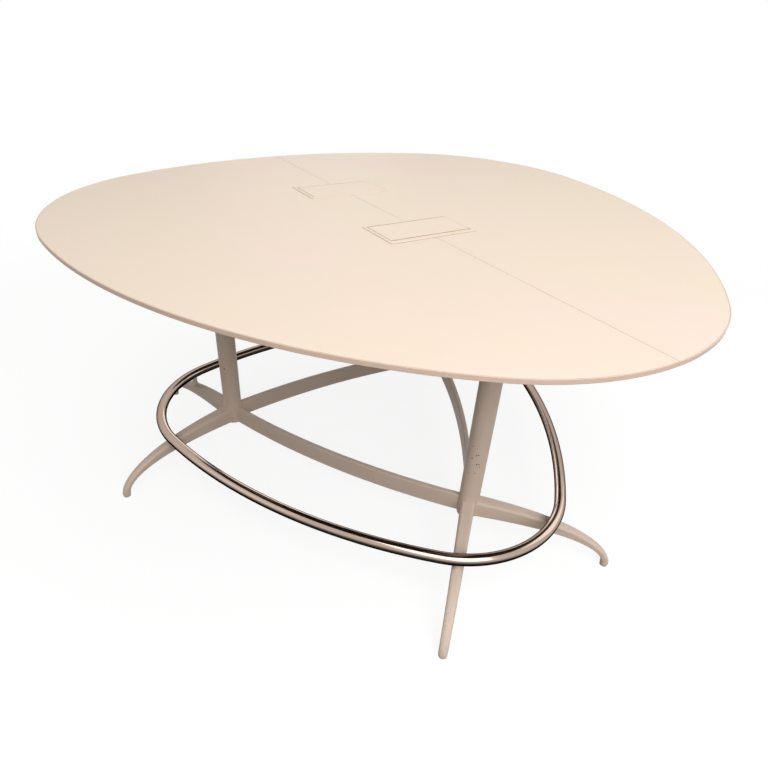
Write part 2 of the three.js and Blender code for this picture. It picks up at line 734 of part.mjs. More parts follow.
// Arched leg with its ring post, coped to the column and mitred against its twin
function leg(side) {
  const rings = [];
  for (let step = 0; step <= LEG_STEPS; step++) rings.push(legSection(step / LEG_STEPS));
  const arm = loft(rings).rotateZ(side * legAngle).translate(COLUMN_RADIUS_OUT, 0, 0);
  const flareTop = postFoot + POST_FLARE_HEIGHT;
  const stalk = turned(
    [
      [0, postFoot - POST_DIAMETER / 2],
      [POST_DIAMETER / 2 + POST_FLARE, postFoot - POST_DIAMETER / 2],
      [POST_DIAMETER / 2 + POST_FLARE, postFoot],
      [POST_DIAMETER / 2 + POST_FLARE / 4, postFoot + POST_FLARE_HEIGHT / 3],
      [POST_DIAMETER / 2, flareTop],
      [POST_DIAMETER / 2, postTop],
      [0, postTop],
    ],
    SMALL_STEPS,
  ).translate(postX, side * postY, 0);
  const mitre = (CLEARANCE / 2) * side;
  const twin = box(-REACH, REACH, Math.min(mitre, -side * REACH), Math.max(mitre, -side * REACH), 0, REACH);
  const bore = RING_SCREW_DIAMETER + 2 * CLEARANCE;
  const headBore = RING_SCREW_HEAD_DIAMETER + 2 * CLEARANCE;
  const stemTop = legTipBottom + GLIDE_STEM_LENGTH + GLIDE_BORE_SPARE;
  return cut(
    join(arm, stalk),
    columnCope(),
    twin,
    ringTube(RING_DIAMETER + 2 * CLEARANCE, 0),
    cylinder(bore, postX, side * postY, 0, TABLE_HEIGHT, SMALL_STEPS),
    cylinder(headBore, postX, side * postY, 0, screwSeat, SMALL_STEPS),
    cylinder(GLIDE_STEM_DIAMETER + 2 * CLEARANCE, footX, side * footY, 0, stemTop, SMALL_STEPS),
  );
}

// Socket-head screw up through the leg and its post into the ring
function ringScrew(side) {
  const headTop = screwSeat - CLEARANCE;
  const shank = RING_SCREW_DIAMETER / 2;
  const head = RING_SCREW_HEAD_DIAMETER / 2;
  const bottom = headTop - RING_SCREW_HEAD_HEIGHT;
  const profile = [
    [0, bottom + RING_SCREW_HEAD_HEIGHT / 2],
    [RING_SCREW_SOCKET / 2, bottom + RING_SCREW_HEAD_HEIGHT / 2],
    [RING_SCREW_SOCKET / 2, bottom],
    [head, bottom],
    [head, headTop],
    [shank, headTop],
    [shank, screwTop],
    [0, screwTop],
  ];
  return turned(profile, FINE_STEPS).translate(postX, side * postY, 0);
}

// Threaded stem with a round-edged pad
function glide(side) {
  const pad = GLIDE_DIAMETER / 2;
  const stem = GLIDE_STEM_DIAMETER / 2;
  const profile = [
    [0, 0],
    [pad - GLIDE_EDGE_ROUND, 0],
    [pad, GLIDE_EDGE_ROUND],
    [pad, GLIDE_HEIGHT - GLIDE_EDGE_ROUND],
    [pad - GLIDE_EDGE_ROUND, GLIDE_HEIGHT],
    [stem, GLIDE_HEIGHT],
    [stem, GLIDE_HEIGHT + GLIDE_STEM_LENGTH],
    [0, GLIDE_HEIGHT + GLIDE_STEM_LENGTH],
  ];
  return turned(profile, SMALL_STEPS).translate(footX, side * footY, 0);
}

function footRing() {
  const holes = [];
  for (let corner = 0; corner < 3; corner++) {
    for (const side of [1, -1]) {
      const hole = cylinder(
        RING_SCREW_DIAMETER + 2 * CLEARANCE,
        postX,
        side * postY,
        0,
        screwTop + CLEARANCE,
        SMALL_STEPS,
      );
      holes.push(hole.rotateZ(frontHeading + corner * THIRD_TURN));
    }
  }
  return cut(ringTube(RING_DIAMETER, frontHeading), ...holes);
}

piece(table, "foot_ring", footRing(), "polished");

// Bowed bar between two columns, in a frame whose X axis points out through its middle
function stretcher() {
  const hubX = COLUMN_RADIUS_OUT * Math.cos(THIRD_TURN / 2);
  const hubY = COLUMN_RADIUS_OUT * Math.sin(THIRD_TURN / 2);
  const radius = (hubY ** 2 + STRETCHER_BOW ** 2) / (2 * STRETCHER_BOW);
  const centre = hubX + STRETCHER_BOW - radius;
  const half = Math.asin(hubY / radius);
  const plan = new THREE.Shape();
  plan.absarc(centre, 0, radius + STRETCHER_WIDTH / 2, -half, half);
  plan.absarc(centre, 0, radius - STRETCHER_WIDTH / 2, half, -half, true);
  const round = STRETCHER_EDGE_ROUND;
  const beam = softPrism(plan, STRETCHER_BOTTOM, STRETCHER_TOP, round, STRETCHER_STEPS, CURVE_STEPS);
  const copes = [1, -1].map((side) => columnCope().rotateZ((side * THIRD_TURN) / 2));
  return cut(beam, ...copes);
}

// Three branches of the base, each with a column, its fittings and two legs
const BRANCHES = [
  { name: "front", legs: { right: 1, left: -1 }, stretcher: "right" },
  { name: "right", legs: { rear: 1, front: -1 }, stretcher: "rear" },
  { name: "left", legs: { front: 1, rear: -1 }, stretcher: "left" },
];

BRANCHES.forEach(({ name, legs, stretcher: span }, index) => {
  const branch = new THREE.Group();
  branch.rotation.z = frontHeading + index * THIRD_TURN;
  table.add(branch);
  piece(branch, `${name}_column`, column(), "paint");
  piece(branch, `${name}_column_cap`, columnCap(), "paint");
  piece(branch, `${name}_mounting_plate`, mountingPlate(), "steel");
  for (const [place, side] of Object.entries(legs)) {
    piece(branch, `${name}_leg_${place}`, leg(side), "paint");
    piece(branch, `${name}_ring_screw_${place}`, ringScrew(side), "steel");
    piece(branch, `${name}_glide_${place}`, glide(side), "nylon");
  }
  const link = new THREE.Group();
  link.rotation.z = branch.rotation.z + THIRD_TURN / 2;
  table.add(link);
  piece(link, `${span}_stretcher`, stretcher(), "paint");
});

export default table;
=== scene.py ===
"""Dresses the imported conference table: finer forms over its solids, finishes and a plain stage."""

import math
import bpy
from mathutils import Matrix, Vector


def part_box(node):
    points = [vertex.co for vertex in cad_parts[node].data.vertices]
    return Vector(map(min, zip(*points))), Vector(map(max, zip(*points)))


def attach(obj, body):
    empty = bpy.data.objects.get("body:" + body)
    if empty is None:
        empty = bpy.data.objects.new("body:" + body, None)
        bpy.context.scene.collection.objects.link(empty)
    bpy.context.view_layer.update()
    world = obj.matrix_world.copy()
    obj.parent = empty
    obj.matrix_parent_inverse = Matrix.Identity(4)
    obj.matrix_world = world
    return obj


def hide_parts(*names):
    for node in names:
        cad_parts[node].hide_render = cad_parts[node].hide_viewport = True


bl_info = {
    "name": "Conference Table",
    "version": (1, 0, 0),
    "blender": (4, 5, 0),
    "location": "View3D > Sidebar > Table",
    "description": "Models the table's finished pieces on the packed frame and sets the stage",
    "category": "Object",
}

from contextlib import contextmanager
from functools import cached_property

import bmesh
import bpy
from bpy.props import FloatProperty, FloatVectorProperty, PointerProperty
from mathutils import Matrix, Vector
from mathutils.geometry import interpolate_bezier

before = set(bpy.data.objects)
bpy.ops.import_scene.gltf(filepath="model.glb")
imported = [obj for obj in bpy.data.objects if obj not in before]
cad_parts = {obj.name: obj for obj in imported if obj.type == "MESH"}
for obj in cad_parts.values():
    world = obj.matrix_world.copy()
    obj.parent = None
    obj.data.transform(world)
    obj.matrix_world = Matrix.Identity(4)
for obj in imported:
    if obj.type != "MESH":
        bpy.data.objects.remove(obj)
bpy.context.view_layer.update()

# Working lengths in metres
MERGE = 1e-5  # points this close become one
NEAR = 2e-5  # places this close count as the same
CLEARANCE = 0.0003  # gap between pieces that touch
HAIR = 0.0002  # how far the top's outline stays inside its solids
OVERRUN = 0.01  # how far a cutter runs past what it cuts
CUTTER_LENGTH = 0.5  # a cutter that only has to be long enough

# Small fixed sizes in metres
ARRIS = 0.0005
BOARD_ROUND = 0.001
LID_ROUND = 0.0007
BOX_ROUND = 0.0014
OUTLET_ROUND = 0.0022
SOCKET_HOLE = 0.005
SOCKET_HOLE_DEPTH = 0.014
SOCKET_HOLE_OFFSET = 0.0095
GLAND_ROUND = 0.0008
GLAND_OVERLAP = 0.002
CAP_ROUND = 0.0014
PLATE_ROUND = 0.0008
SPIGOT_WALL = 0.008
SCREW_CIRCLE = 0.15
SCREW_HEAD = 0.0125
SCREW_HEIGHT = 0.0034
SCREW_ROUND = 0.0022
SCREW_SOCKET = 0.005
SCREW_SOCKET_DEPTH = 0.002
RING_SCREW_HEAD_HEIGHT = 0.006
TIP_ROUND = 0.0012
GLIDE_ROUND = 0.0009
GLIDE_STEM = 0.01
GLIDE_BORE_DEPTH = 0.023

# Counts, and shares of other sizes
COLUMN_SIDES = 72
BORE_SIDES = 32
RING_SIDES = 56
POST_SIDES = 40
OUTLETS = 4
PLATE_SCREWS = 6
LEG_STATIONS = 37
FLARE_STEPS = 6
FLARE_CURVE = 1.5
STRETCHER_STEPS = 40
THREAD_TURNS = 13
THREAD_ROOT = 0.86
SEAM_ROD_SHARE = 0.31
INNER_ROUND_SHARE = 0.6
SPIGOT_HOLLOW_SHARE = 0.9

# Upright part of a face's normal, from which on it counts as facing up or down
FACING = 0.9

# Angles, and the places round the table's axis
ARC_STEP = math.radians(1.6)
THIRD = math.tau / 3
FRONT = -math.pi / 2
SIDES = {"left": -1, "right": 1}
HUBS = {"front": FRONT, "right": FRONT + THIRD, "left": FRONT + 2 * THIRD}
STRETCHERS = {"right": FRONT + THIRD / 2, "rear": FRONT + 1.5 * THIRD, "left": FRONT + 2.5 * THIRD}
LEGS = (
    ("front", "right", 1),
    ("front", "left", -1),
    ("right", "rear", 1),
    ("right", "front", -1),
    ("left", "front", 1),
    ("left", "rear", -1),
)


# Places and sizes that the frame gives


def middle(node):
    low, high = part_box(node)
    return (low + high) / 2


def polar(reach, angle):
    return Vector((reach * math.cos(angle), reach * math.sin(angle), 0))


AXIS = sum((middle(f"{hub}_column") for hub in HUBS), Vector()) / 3
AXIS.z = 0
HUB_REACH = (middle("front_column") - AXIS).xy.length
HUB = Vector((HUB_REACH, 0, 0))  # foot of the column on a branch of the base drawn along +X
COLUMN_LOW, COLUMN_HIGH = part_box("front_column")
COLUMN_DIAMETER = COLUMN_HIGH.x - COLUMN_LOW.x
PLATE_UNDERSIDE = COLUMN_HIGH.z + CLEARANCE
TOP_LOW, TOP_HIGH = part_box("top_panel_left")
RING_LOW, RING_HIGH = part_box("foot_ring")
RING_DIAMETER = RING_HIGH.z - RING_LOW.z
RING_HEIGHT = (RING_HIGH.z + RING_LOW.z) / 2


# Settings


def length(name, description, default):
    return FloatProperty(
        name=name, description=description, default=default, unit="LENGTH", precision=4
    )


def colour(name, description, default):
    return FloatVectorProperty(
        name=name, description=description, default=default, subtype="COLOR", size=3, min=0, max=1
    )


class TableSizes(bpy.types.PropertyGroup):
    """Sizes of the forms that the frame's boxes don't give"""

    top_corner_radius: length("Top corner radius", "Radius of the three corners of the top", 0.645)
    top_lip: length("Top lip", "Height of the upright edge of the top", 0.0125)
    top_undercut: length("Top undercut", "How far the underside stays behind the edge", 0.045)
    edge_thickness: length("Edge thickness", "Thickness of the edge band", 0.003)
    edge_round: length("Edge round", "Radius on the edge band's long edges", 0.0015)
    seam_gap: length("Seam gap", "Gap between the two halves of the top", 0.0004)
    seam_arris: length("Seam arris", "Small bevel along the seam", 0.001)
    lid_gap: length("Lid gap", "Gap round a hatch lid", 0.0012)
    lid_chamfer: length("Lid chamfer", "Undercut of a lid's finger edge", 0.003)
    cable_slot: length("Cable slot", "Slot left in front of a closed lid", 0.006)
    bezel_round: length("Bezel round", "Radius on the bezel's outer edge", 0.001)
    bezel_corner: length("Bezel corner", "Radius of the bezel's corners seen from above", 0.005)
    bezel_proud: length("Bezel height", "How far the bezel stands above the top", 0.0025)
    collar_wall: length("Collar wall", "Wall of the bezel's collar in the top", 0.004)
    ledge_reach: length("Ledge reach", "How far the ledges under a lid reach in", 0.007)
    ledge_thickness: length("Ledge thickness", "Thickness of the ledges under a lid", 0.004)
    ledge_length: length("Ledge length", "Length of the ledges under a lid", 0.09)
    hinge_bore: length("Hinge bore", "Bore round a hinge pin", 0.0046)
    box_sheet: length("Box sheet", "Sheet of the power boxes", 0.0015)
    box_flange: length("Box flange", "Flange of a power box under the top", 0.018)
    box_corner: length("Box corner", "Corner radius of the power boxes", 0.006)
    outlet_shoulder: length("Outlet shoulder", "Height of an outlet strip's front", 0.02)
    outlet_crown: length("Outlet crown", "Depth of an outlet strip's top", 0.012)
    outlet_pitch: length("Outlet pitch", "Distance between sockets", 0.05)
    socket_diameter: length("Socket diameter", "Diameter of a socket's dish", 0.036)
    socket_depth: length("Socket depth", "Depth of a socket's dish", 0.003)
    gland_body: length("Gland body", "Diameter of a gland in the box's floor", 0.02)
    gland_bore: length("Gland bore", "Bore of a gland", 0.01)
    column_wall: length("Column wall", "Wall of the column tubes", 0.003)
    leg_root_top: length("Leg root top", "Height of a leg's top at the column", 0.185)
    leg_root_bottom: length("Leg root bottom", "Height of a leg's underside at the column", 0.1185)
    leg_root_width: length("Leg root width", "Width of a leg at the column", 0.049)
    leg_root_corner: length("Leg root corner", "Corner radius of a leg at the column", 0.009)
    leg_tip: length("Leg tip", "Diameter of a leg's tip", 0.028)
    leg_top_fall: length("Leg top fall", "Fall of the leg's top line on its way out", 0.014)
    leg_arch_rise: length("Leg arch rise", "Rise of the arch under a leg", 0.009)
    leg_arch_run: length("Leg arch run", "Distance of the arch from the tip", 0.064)
    leg_instep: length("Leg instep", "Height of the instep over the tip", 0.047)
    post_diameter: length("Post diameter", "Diameter of the posts under the ring", 0.02)
    post_flare: length("Post flare", "Widening at the foot of a post", 0.004)
    post_flare_height: length("Post flare height", "Height of a post's flare", 0.012)
    stretcher_width: length("Stretcher width", "Width of the stretchers", 0.02)
    stretcher_corner: length("Stretcher corner", "Corner radius of a stretcher", 0.0058)
    ring_corner_radius: length("Ring corner radius", "Radius of the ring's corners", 0.379)


class TableColours(bpy.types.PropertyGroup):
    """Colours of the finishes"""

    laminate: colour("Laminate", "Face of the top", (0.945, 0.806, 0.668))
    # The underside colour is a dark backer sheet, made darker still as painted shade of the table's
    # underside
    backing_and_shade: colour("Backing", "Underside of the top", (0.075, 0.062, 0.053))
    # Dark colour for dirt in the seam and for painted shade in the seam and the gaps round the hatches
    dust_and_gap_shade: colour("Joint", "Dust in the seam and round the hatches", (0.3, 0.235, 0.18))
    edge: colour("Edge band", "Band round the top", (0.76, 0.575, 0.465))
    trim: colour("Hatch trim", "Bezels and lids", (0.945, 0.81, 0.668))
    lid_edge: colour("Lid edge", "Finger edge and underside of the lids", (0.74, 0.53, 0.36))
    paint: colour("Paint", "Columns, legs and stretchers", (0.84, 0.68, 0.567))
    chip: colour("Chip", "Bare spots in the paint", (0.07, 0.055, 0.047))
    ring: colour("Ring", "Polished foot ring", (0.48, 0.375, 0.312))
    # Near-black of the ring's underside and edge tint: painted shade and a painted reflection of a dark
    # floor, not a patina
    ring_painted_shade: colour("Ring patina", "Ring where nothing rubs it", (0.03, 0.023, 0.019))
    hardware: colour("Hardware", "Plates, screws and pins", (0.56, 0.555, 0.54))
    sheet: colour("Sheet", "Power boxes", (0.055, 0.053, 0.05))
    plastic: colour("Plastic", "Outlets and glands", (0.03, 0.029, 0.028))
    beech: colour("Beech", "Dowels in the seam", (0.55, 0.36, 0.19))
    nylon: colour("Nylon", "Glides under the legs", (0.72, 0.62, 0.53))
    floor: colour("Floor", "Stage floor", (0.19, 0.163, 0.135))
    room: colour("Room", "Light from all round", (1.0, 0.955, 0.91))


def sizes():
    return bpy.context.scene.table_sizes


def colours():
    return bpy.context.scene.table_colours


# Modelling by hand


def choose(*pieces):
    """Selects these pieces alone, in object mode."""
    if bpy.context.mode != "OBJECT":
        bpy.ops.object.mode_set(mode="OBJECT")
    bpy.ops.object.select_all(action="DESELECT")
    for piece in pieces:
        piece.select_set(True)
    bpy.context.view_layer.objects.active = pieces[0] if pieces else None


def settle():
    """Applies the place of the piece in hand to its mesh."""
    bpy.ops.object.transform_apply(location=True, rotation=True, scale=True)
    return bpy.context.object


def shift(piece, move):
    """Moves a piece, with that move in its mesh."""
    choose(piece)
    piece.matrix_world = move
    return settle()


@contextmanager
def editing(piece):
    """Edit mode on one piece, with all of it selected."""
    choose(piece)
    bpy.ops.object.mode_set(mode="EDIT")
    bpy.ops.mesh.select_mode(type="VERT")
    bpy.ops.mesh.select_all(action="SELECT")
    yield
    bpy.ops.object.mode_set(mode="OBJECT")


def pick(kind, test):
    """Selects the points, edges or faces that pass a test, in the mesh being edited."""
    bpy.ops.mesh.select_mode(type=kind)
    bpy.ops.mesh.select_all(action="DESELECT")
    mesh = bpy.context.edit_object.data
    form = bmesh.from_edit_mesh(mesh)
    for part in {"VERT": form.verts, "EDGE": form.edges, "FACE": form.faces}[kind]:
        if test(part):
            part.select_set(True)
    form.select_flush_mode()
    bmesh.update_edit_mesh(mesh)


def faces_up(face):
    return face.normal.z > FACING


def faces_down(face):
    return face.normal.z < -FACING


def level(edge):
    first, second = edge.verts
    return abs(first.co.z - second.co.z) < NEAR


def not_above(z):
    """Test for edges that lie at a height or lower."""
    return lambda edge: all(point.co.z < z + NEAR for point in edge.verts)


def not_below(z):
    """Test for edges that lie at a height or higher."""
    return lambda edge: all(point.co.z > z - NEAR for point in edge.verts)


def on_rim(place, diameter):
    """Test for the level edges round the outside of an upright round form."""
    reach = diameter / 2 - NEAR
    return lambda edge: level(edge) and all(
        (point.co - place).xy.length > reach for point in edge.verts
    )


def beyond(place, outward):
    """Test for points on the outer side of a place."""
    return lambda point: (point.co - place).xy.dot(polar(1, outward).xy) > 0


def close_up():
    """Merges doubles and turns all faces outwards, in the mesh being edited."""
    bpy.ops.mesh.select_all(action="SELECT")
    bpy.ops.mesh.remove_doubles(threshold=MERGE)
    bpy.ops.mesh.normals_make_consistent(inside=False)


def push(x=0.0, y=0.0, z=0.0):
    """Extrudes the selected faces or edges."""
    bpy.ops.mesh.extrude_region_move(TRANSFORM_OT_translate={"value": (x, y, z)})


def round_points(width, steps):
    """Rounds the selected corners of a flat form, then selects all of it."""
    bpy.ops.mesh.bevel(offset=width, segments=steps, affect="VERTICES")
    bpy.ops.mesh.select_all(action="SELECT")


def keep_outline():
    """Takes the face out of a flat form and selects what is left."""
    bpy.ops.mesh.delete(type="ONLY_FACE")
    bpy.ops.mesh.select_all(action="SELECT")


def cut_flat(place, outward):
    """Cuts the selected form at a plane, closes it there and keeps its outward part."""
    bpy.ops.mesh.bisect(plane_co=place, plane_no=outward, use_fill=True, clear_inner=True)


def upright(heading):
    """The turn that stands a flat form up, with its width along a heading."""
    return (math.pi / 2, 0, heading)


def add_plate(place, rotation, width, depth):
    """A flat rectangle about a place, to be shaped further."""
    choose()
    bpy.ops.mesh.primitive_plane_add(size=1, location=place, rotation=rotation)
    bpy.context.object.scale = (width, depth, 1)
    return settle()


def add_block(low, high, corner=0.0, steps=8):
    """An upright block between two corners, its upright edges rounded."""
    low, high = Vector(low), Vector(high)
    centre = (low + high) / 2
    block = add_plate((centre.x, centre.y, low.z), (0, 0, 0), high.x - low.x, high.y - low.y)
    with editing(block):
        if corner:
            round_points(corner, steps)
        push(z=high.z - low.z)
        close_up()
    return block


def add_rod(diameter, start, end, sides=48):
    """A round rod between two points."""
    start, end = Vector(start), Vector(end)
    run = end - start
    choose()
    bpy.ops.mesh.primitive_cylinder_add(
        vertices=sides,
        radius=diameter / 2,
        depth=run.length,
        location=(start + end) / 2,
        rotation=run.to_track_quat("Z", "Y").to_euler(),
    )
    return settle()


def add_pillar(diameter, place, low, high, sides=48):
    """An upright rod at a place, between two heights."""
    return add_rod(diameter, (place.x, place.y, low), (place.x, place.y, high), sides)


def bevel_edges(piece, test, width, steps=3):
    with editing(piece):
        pick("EDGE", test)
        bpy.ops.mesh.bevel(offset=width, segments=steps, affect="EDGES")
    return piece


def modify(piece, kind, **settings):
    """Adds a modifier to a piece and applies it."""
    choose(piece)
    bpy.ops.object.modifier_add(type=kind)
    modifier = piece.modifiers[-1]
    for name, value in settings.items():
        setattr(modifier, name, value)
    bpy.ops.object.modifier_apply(modifier=modifier.name)


def combine(piece, operation, *tools):
    """Joins tools to a piece or cuts them out of it, and uses them up."""
    for tool in tools:
        modify(piece, "BOOLEAN", operation=operation, solver="EXACT", object=tool)
        bpy.data.objects.remove(tool)
    return piece


def join(*pieces):
    choose(*pieces)
    bpy.ops.object.join()
    return bpy.context.object


def copy(piece, move=Matrix.Identity(4)):
    """A copy with its own mesh, moved and with that move in its mesh."""
    choose(piece)
    bpy.ops.object.duplicate(linked=False)
    twin = shift(bpy.context.object, move)
    if move.determinant() < 0:
        with editing(twin):
            bpy.ops.mesh.flip_normals()
    return twin


def turn_about_axis(angle):
    """The turn from a branch of the base drawn along +X to its place round the table's axis."""
    return Matrix.Translation(AXIS) @ Matrix.Rotation(angle, 4, "Z")


def on_branch(node):
    """The middle of a node of the front branch, with that branch drawn along +X."""
    return turn_about_axis(FRONT).inverted() @ middle(node)


def dress(piece, name, finish, nodes=(), body="frame", smooth=32):
    """Names a finished piece, shades it, gives it its finish and seats it on its body."""
    piece.name = name
    piece.data.name = name
    choose(piece)
    bpy.ops.object.shade_smooth_by_angle(angle=math.radians(smooth))
    modify(piece, "WEIGHTED_NORMAL", keep_sharp=True)
    piece.data.materials.clear()
    piece.data.materials.append(finished(finish))
    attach(piece, body)
    if nodes:
        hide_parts(*nodes)
    return piece


def bowed_arcs(corner_reach, side_reach, corner_radius):
    """A bowed triangle: its start, which way is out there, and centre and sweep of its six arcs."""
    corner_centre = corner_reach - corner_radius
    extra = side_reach - corner_radius
    side_centre = (extra**2 - corner_centre**2) / (corner_centre - 2 * extra)
    half = math.atan2(
        side_centre * math.sin(THIRD / 2), corner_centre + side_centre * math.cos(THIRD / 2)
    )
    start = AXIS + polar(corner_centre, FRONT) + polar(corner_radius, FRONT - half)
    arcs = []
    for angle in HUBS.values():
        arcs.append((AXIS + polar(corner_centre, angle), 2 * half))
        arcs.append((AXIS + polar(-side_centre, angle + THIRD / 2), THIRD - 2 * half))
    return start, FRONT - half, arcs


def sweep(arcs):
    """Spins what is selected along a row of arcs."""
    for centre, angle in arcs:
        steps = max(2, round(angle / ARC_STEP))
        bpy.ops.mesh.spin(steps=steps, angle=angle, center=centre, axis=(0, 0, -1))


# Finishes


class Field:
    """A value that varies over a surface, so that sums of it add their own nodes"""

    def __init__(self, finish, socket):
        self.finish = finish
        self.socket = socket

    def math(self, operation, *terms):
        return self.finish.add("ShaderNodeMath", dict(enumerate(terms)), operation=operation)

    def __add__(self, other):
        return self.math("ADD", self, other)

    def __sub__(self, other):
        return self.math("SUBTRACT", self, other)

    def __rsub__(self, other):
        return self.math("SUBTRACT", other, self)

    def __mul__(self, other):
        return self.math("MULTIPLY", self, other)

    def __lt__(self, other):
        return self.math("LESS_THAN", self, other)

    __radd__ = __add__
    __rmul__ = __mul__

    def most(self, other):
        return self.math("MAXIMUM", self, other)

    def least(self, other):
        return self.math("MINIMUM", self, other)

    def size(self):
        return self.math("ABSOLUTE", self)

    def near(self, value, reach):
        """1 where the field lies within reach of a value, else 0."""
        return (self - value).size() < reach


class Finish:
    """The nodes of a material or of the world, and the ways to add to them"""

    def __init__(self, owner, shader="Principled BSDF"):
        owner.use_nodes = True
        self.owner = owner
        self.tree = owner.node_tree
        self.shader = self.tree.nodes[shader]

    def feed(self, sockets, values):
        """Links fields to sockets, and sets constants on them."""
        for name, value in values.items():
            socket = sockets[name]
            if isinstance(value, Field):
                self.tree.links.new(value.socket, socket)
            elif socket.type == "RGBA":
                socket.default_value = (*value[:3], 1)
            else:
                socket.default_value = value

    def add(self, kind, inputs=None, output=0, **settings):
        """A node of any kind: its settings first, then what goes into its sockets."""
        node = self.tree.nodes.new(kind)
        for name, value in settings.items():
            setattr(node, name, value)
        self.feed(node.inputs, inputs or {})
        return Field(self, node.outputs[output])

    @cached_property
    def place(self):
        return self.add("ShaderNodeTexCoord", output="Object")

    @cached_property
    def axes(self):
        first = self.add("ShaderNodeSeparateXYZ", {0: self.place})
        return [Field(self, output) for output in first.socket.node.outputs]

    def distance(self, place):
        return self.add("ShaderNodeVectorMath", {0: place}, "Value", operation="LENGTH")

    def noise(self, scale, detail=2.0, roughness=0.5, stretch=None):
        """Noise over the surface, its axes scaled first where stretch says so."""
        place = self.place
        if stretch:
            place = self.add("ShaderNodeMapping", {"Vector": place, "Scale": stretch})
        inputs = {"Vector": place, "Scale": scale, "Detail": detail, "Roughness": roughness}
        return self.add("ShaderNodeTexNoise", inputs)

    def ramp(self, value, *stops):
        """A level that follows a value between two stops, each a value and its level."""
        field = self.add("ShaderNodeValToRGB", {"Fac": value})
        for element, (place, grey) in zip(field.socket.node.color_ramp.elements, stops):
            element.position = place
            element.color = (grey, grey, grey, 1)
        return field

    def mix(self, factor, first, second):
        return self.add("ShaderNodeMix", {0: factor, 6: first, 7: second}, 2, data_type="RGBA")

    def mottle(self, pattern, shade, dark, light):
        """A colour that a pattern varies between two tints."""
        return self.mix(pattern, tint(shade, dark), tint(shade, light))

    def bump(self, height, strength, distance, under=None):
        inputs = {"Height": height, "Strength": strength, "Distance": distance}
        if under:
            inputs["Normal"] = under
        return self.add("ShaderNodeBump", inputs)

    def shade(self, values):
        self.feed(self.shader.inputs, values)
        return self.owner

    def show(self, backdrop, output):
        """Shows a backdrop to the camera, in metal and through glass, and the shader to other rays."""
        seen = self.add("ShaderNodeLightPath", output="Is Camera Ray")
        rays = seen.socket.node.outputs
        for name in ("Is Glossy Ray", "Is Transmission Ray"):
            seen = seen.most(Field(self, rays[name]))
        lit = Field(self, self.shader.outputs[0])
        surface = self.add("ShaderNodeMixShader", {0: seen, 1: lit, 2: backdrop})
        self.tree.links.new(surface.socket, self.tree.nodes[output].inputs["Surface"])
        return self.owner


def tint(shade, *factors):
    """A colour with its parts multiplied, all by one factor or each by its own."""
    if len(factors) == 1:
        factors = factors * 3
    return tuple(min(1.0, part * factor) for part, factor in zip(shade, factors))


SATIN_GLOSS = 0.12

# Where finishes change on a piece, in metres
LIP_MARGIN = 0.0005
# Reaches of the dirt and painted shade along the seam and round the hatches
SEAM_DUST_AND_SHADE = 0.0005
SEAM_DUST_AND_SHADE_SPREAD = 0.0004
BEZEL_SHADE = 0.0012
GAP_SHADE = 0.0004
GAP_SHADE_RISE = 0.0019
LID_FACE = 0.0006
HINGE_SHADE_DEPTH = 0.0012
GLIDE_GRIME = 0.003

# Spots where the paint is chipped: place, squeeze along the axes, and reach
COLUMN_CHIPS = (
    ((-0.025, -0.548, 0.38), (1, 1, 0.4), 0.06),
    ((-0.54, 0.346, 0.38), (1, 1, 0.35), 0.04),
)
LEG_CHIPS = (
    ((-0.3, -0.82, 0.08), (1, 1, 1), 0.09),
    ((-0.85, 0.28, 0.12), (1, 1, 1), 0.05),
)


def laminate(finish):
    """Satin laminate above, dirty and with painted shade at the seam, with a dark backing sheet below
    the lip that is darkened further as painted shade.
    """
    shades = colours()
    x, _, z = finish.axes
    cloud = finish.noise(1.7, 4)
    cool = tint(shades.laminate, 0.985, 1.0, 0.975)
    warm = tint(shades.laminate, 1.01, 0.985, 1.02)
    face = finish.mix(finish.ramp(cloud, (0.35, 0), (0.65, 1)), cool, warm)
    # Darker band along the seam: dirt and painted shade of the gap
    dust_and_gap_shade = x.size() < SEAM_DUST_AND_SHADE + SEAM_DUST_AND_SHADE_SPREAD * cloud
    face = finish.mix(dust_and_gap_shade * 0.75, face, shades.dust_and_gap_shade)
    fibre = finish.noise(1, 4, stretch=(9, 180, 90))
    # Dark colour below the lip: a backer sheet, darkened further as painted shade of the underside
    back = finish.mottle(fibre, shades.backing_and_shade, 0.8, 1.25)
    below = z < TOP_HIGH.z - sizes().top_lip - LIP_MARGIN
    return finish.shade(
        {
            "Base Color": finish.mix(below, face, back),
            "Roughness": 0.46 + 0.1 * cloud + 0.12 * below,
            "Specular IOR Level": SATIN_GLOSS,
            "Normal": finish.bump(finish.noise(700, 3), 0.06, 0.0002),
        }
    )


def hatch_satin(finish, gap_shade, tan=None):
    """Satin of the hatches, with painted shade in the gaps, and tan where the lids show it."""
    shades = colours()
    cloud = finish.noise(6, 3)
    body = finish.mottle(cloud, shades.trim, 0.97, 1.02)
    if tan:
        body = finish.mix(tan, body, shades.lid_edge)
    return finish.shade(
        {
            "Base Color": finish.mix(gap_shade, body, shades.dust_and_gap_shade),
            "Roughness": 0.46 + 0.12 * cloud,
            "Specular IOR Level": SATIN_GLOSS,
            "Normal": finish.bump(finish.noise(900, 2), 0.08, 0.0002),
        }
    )


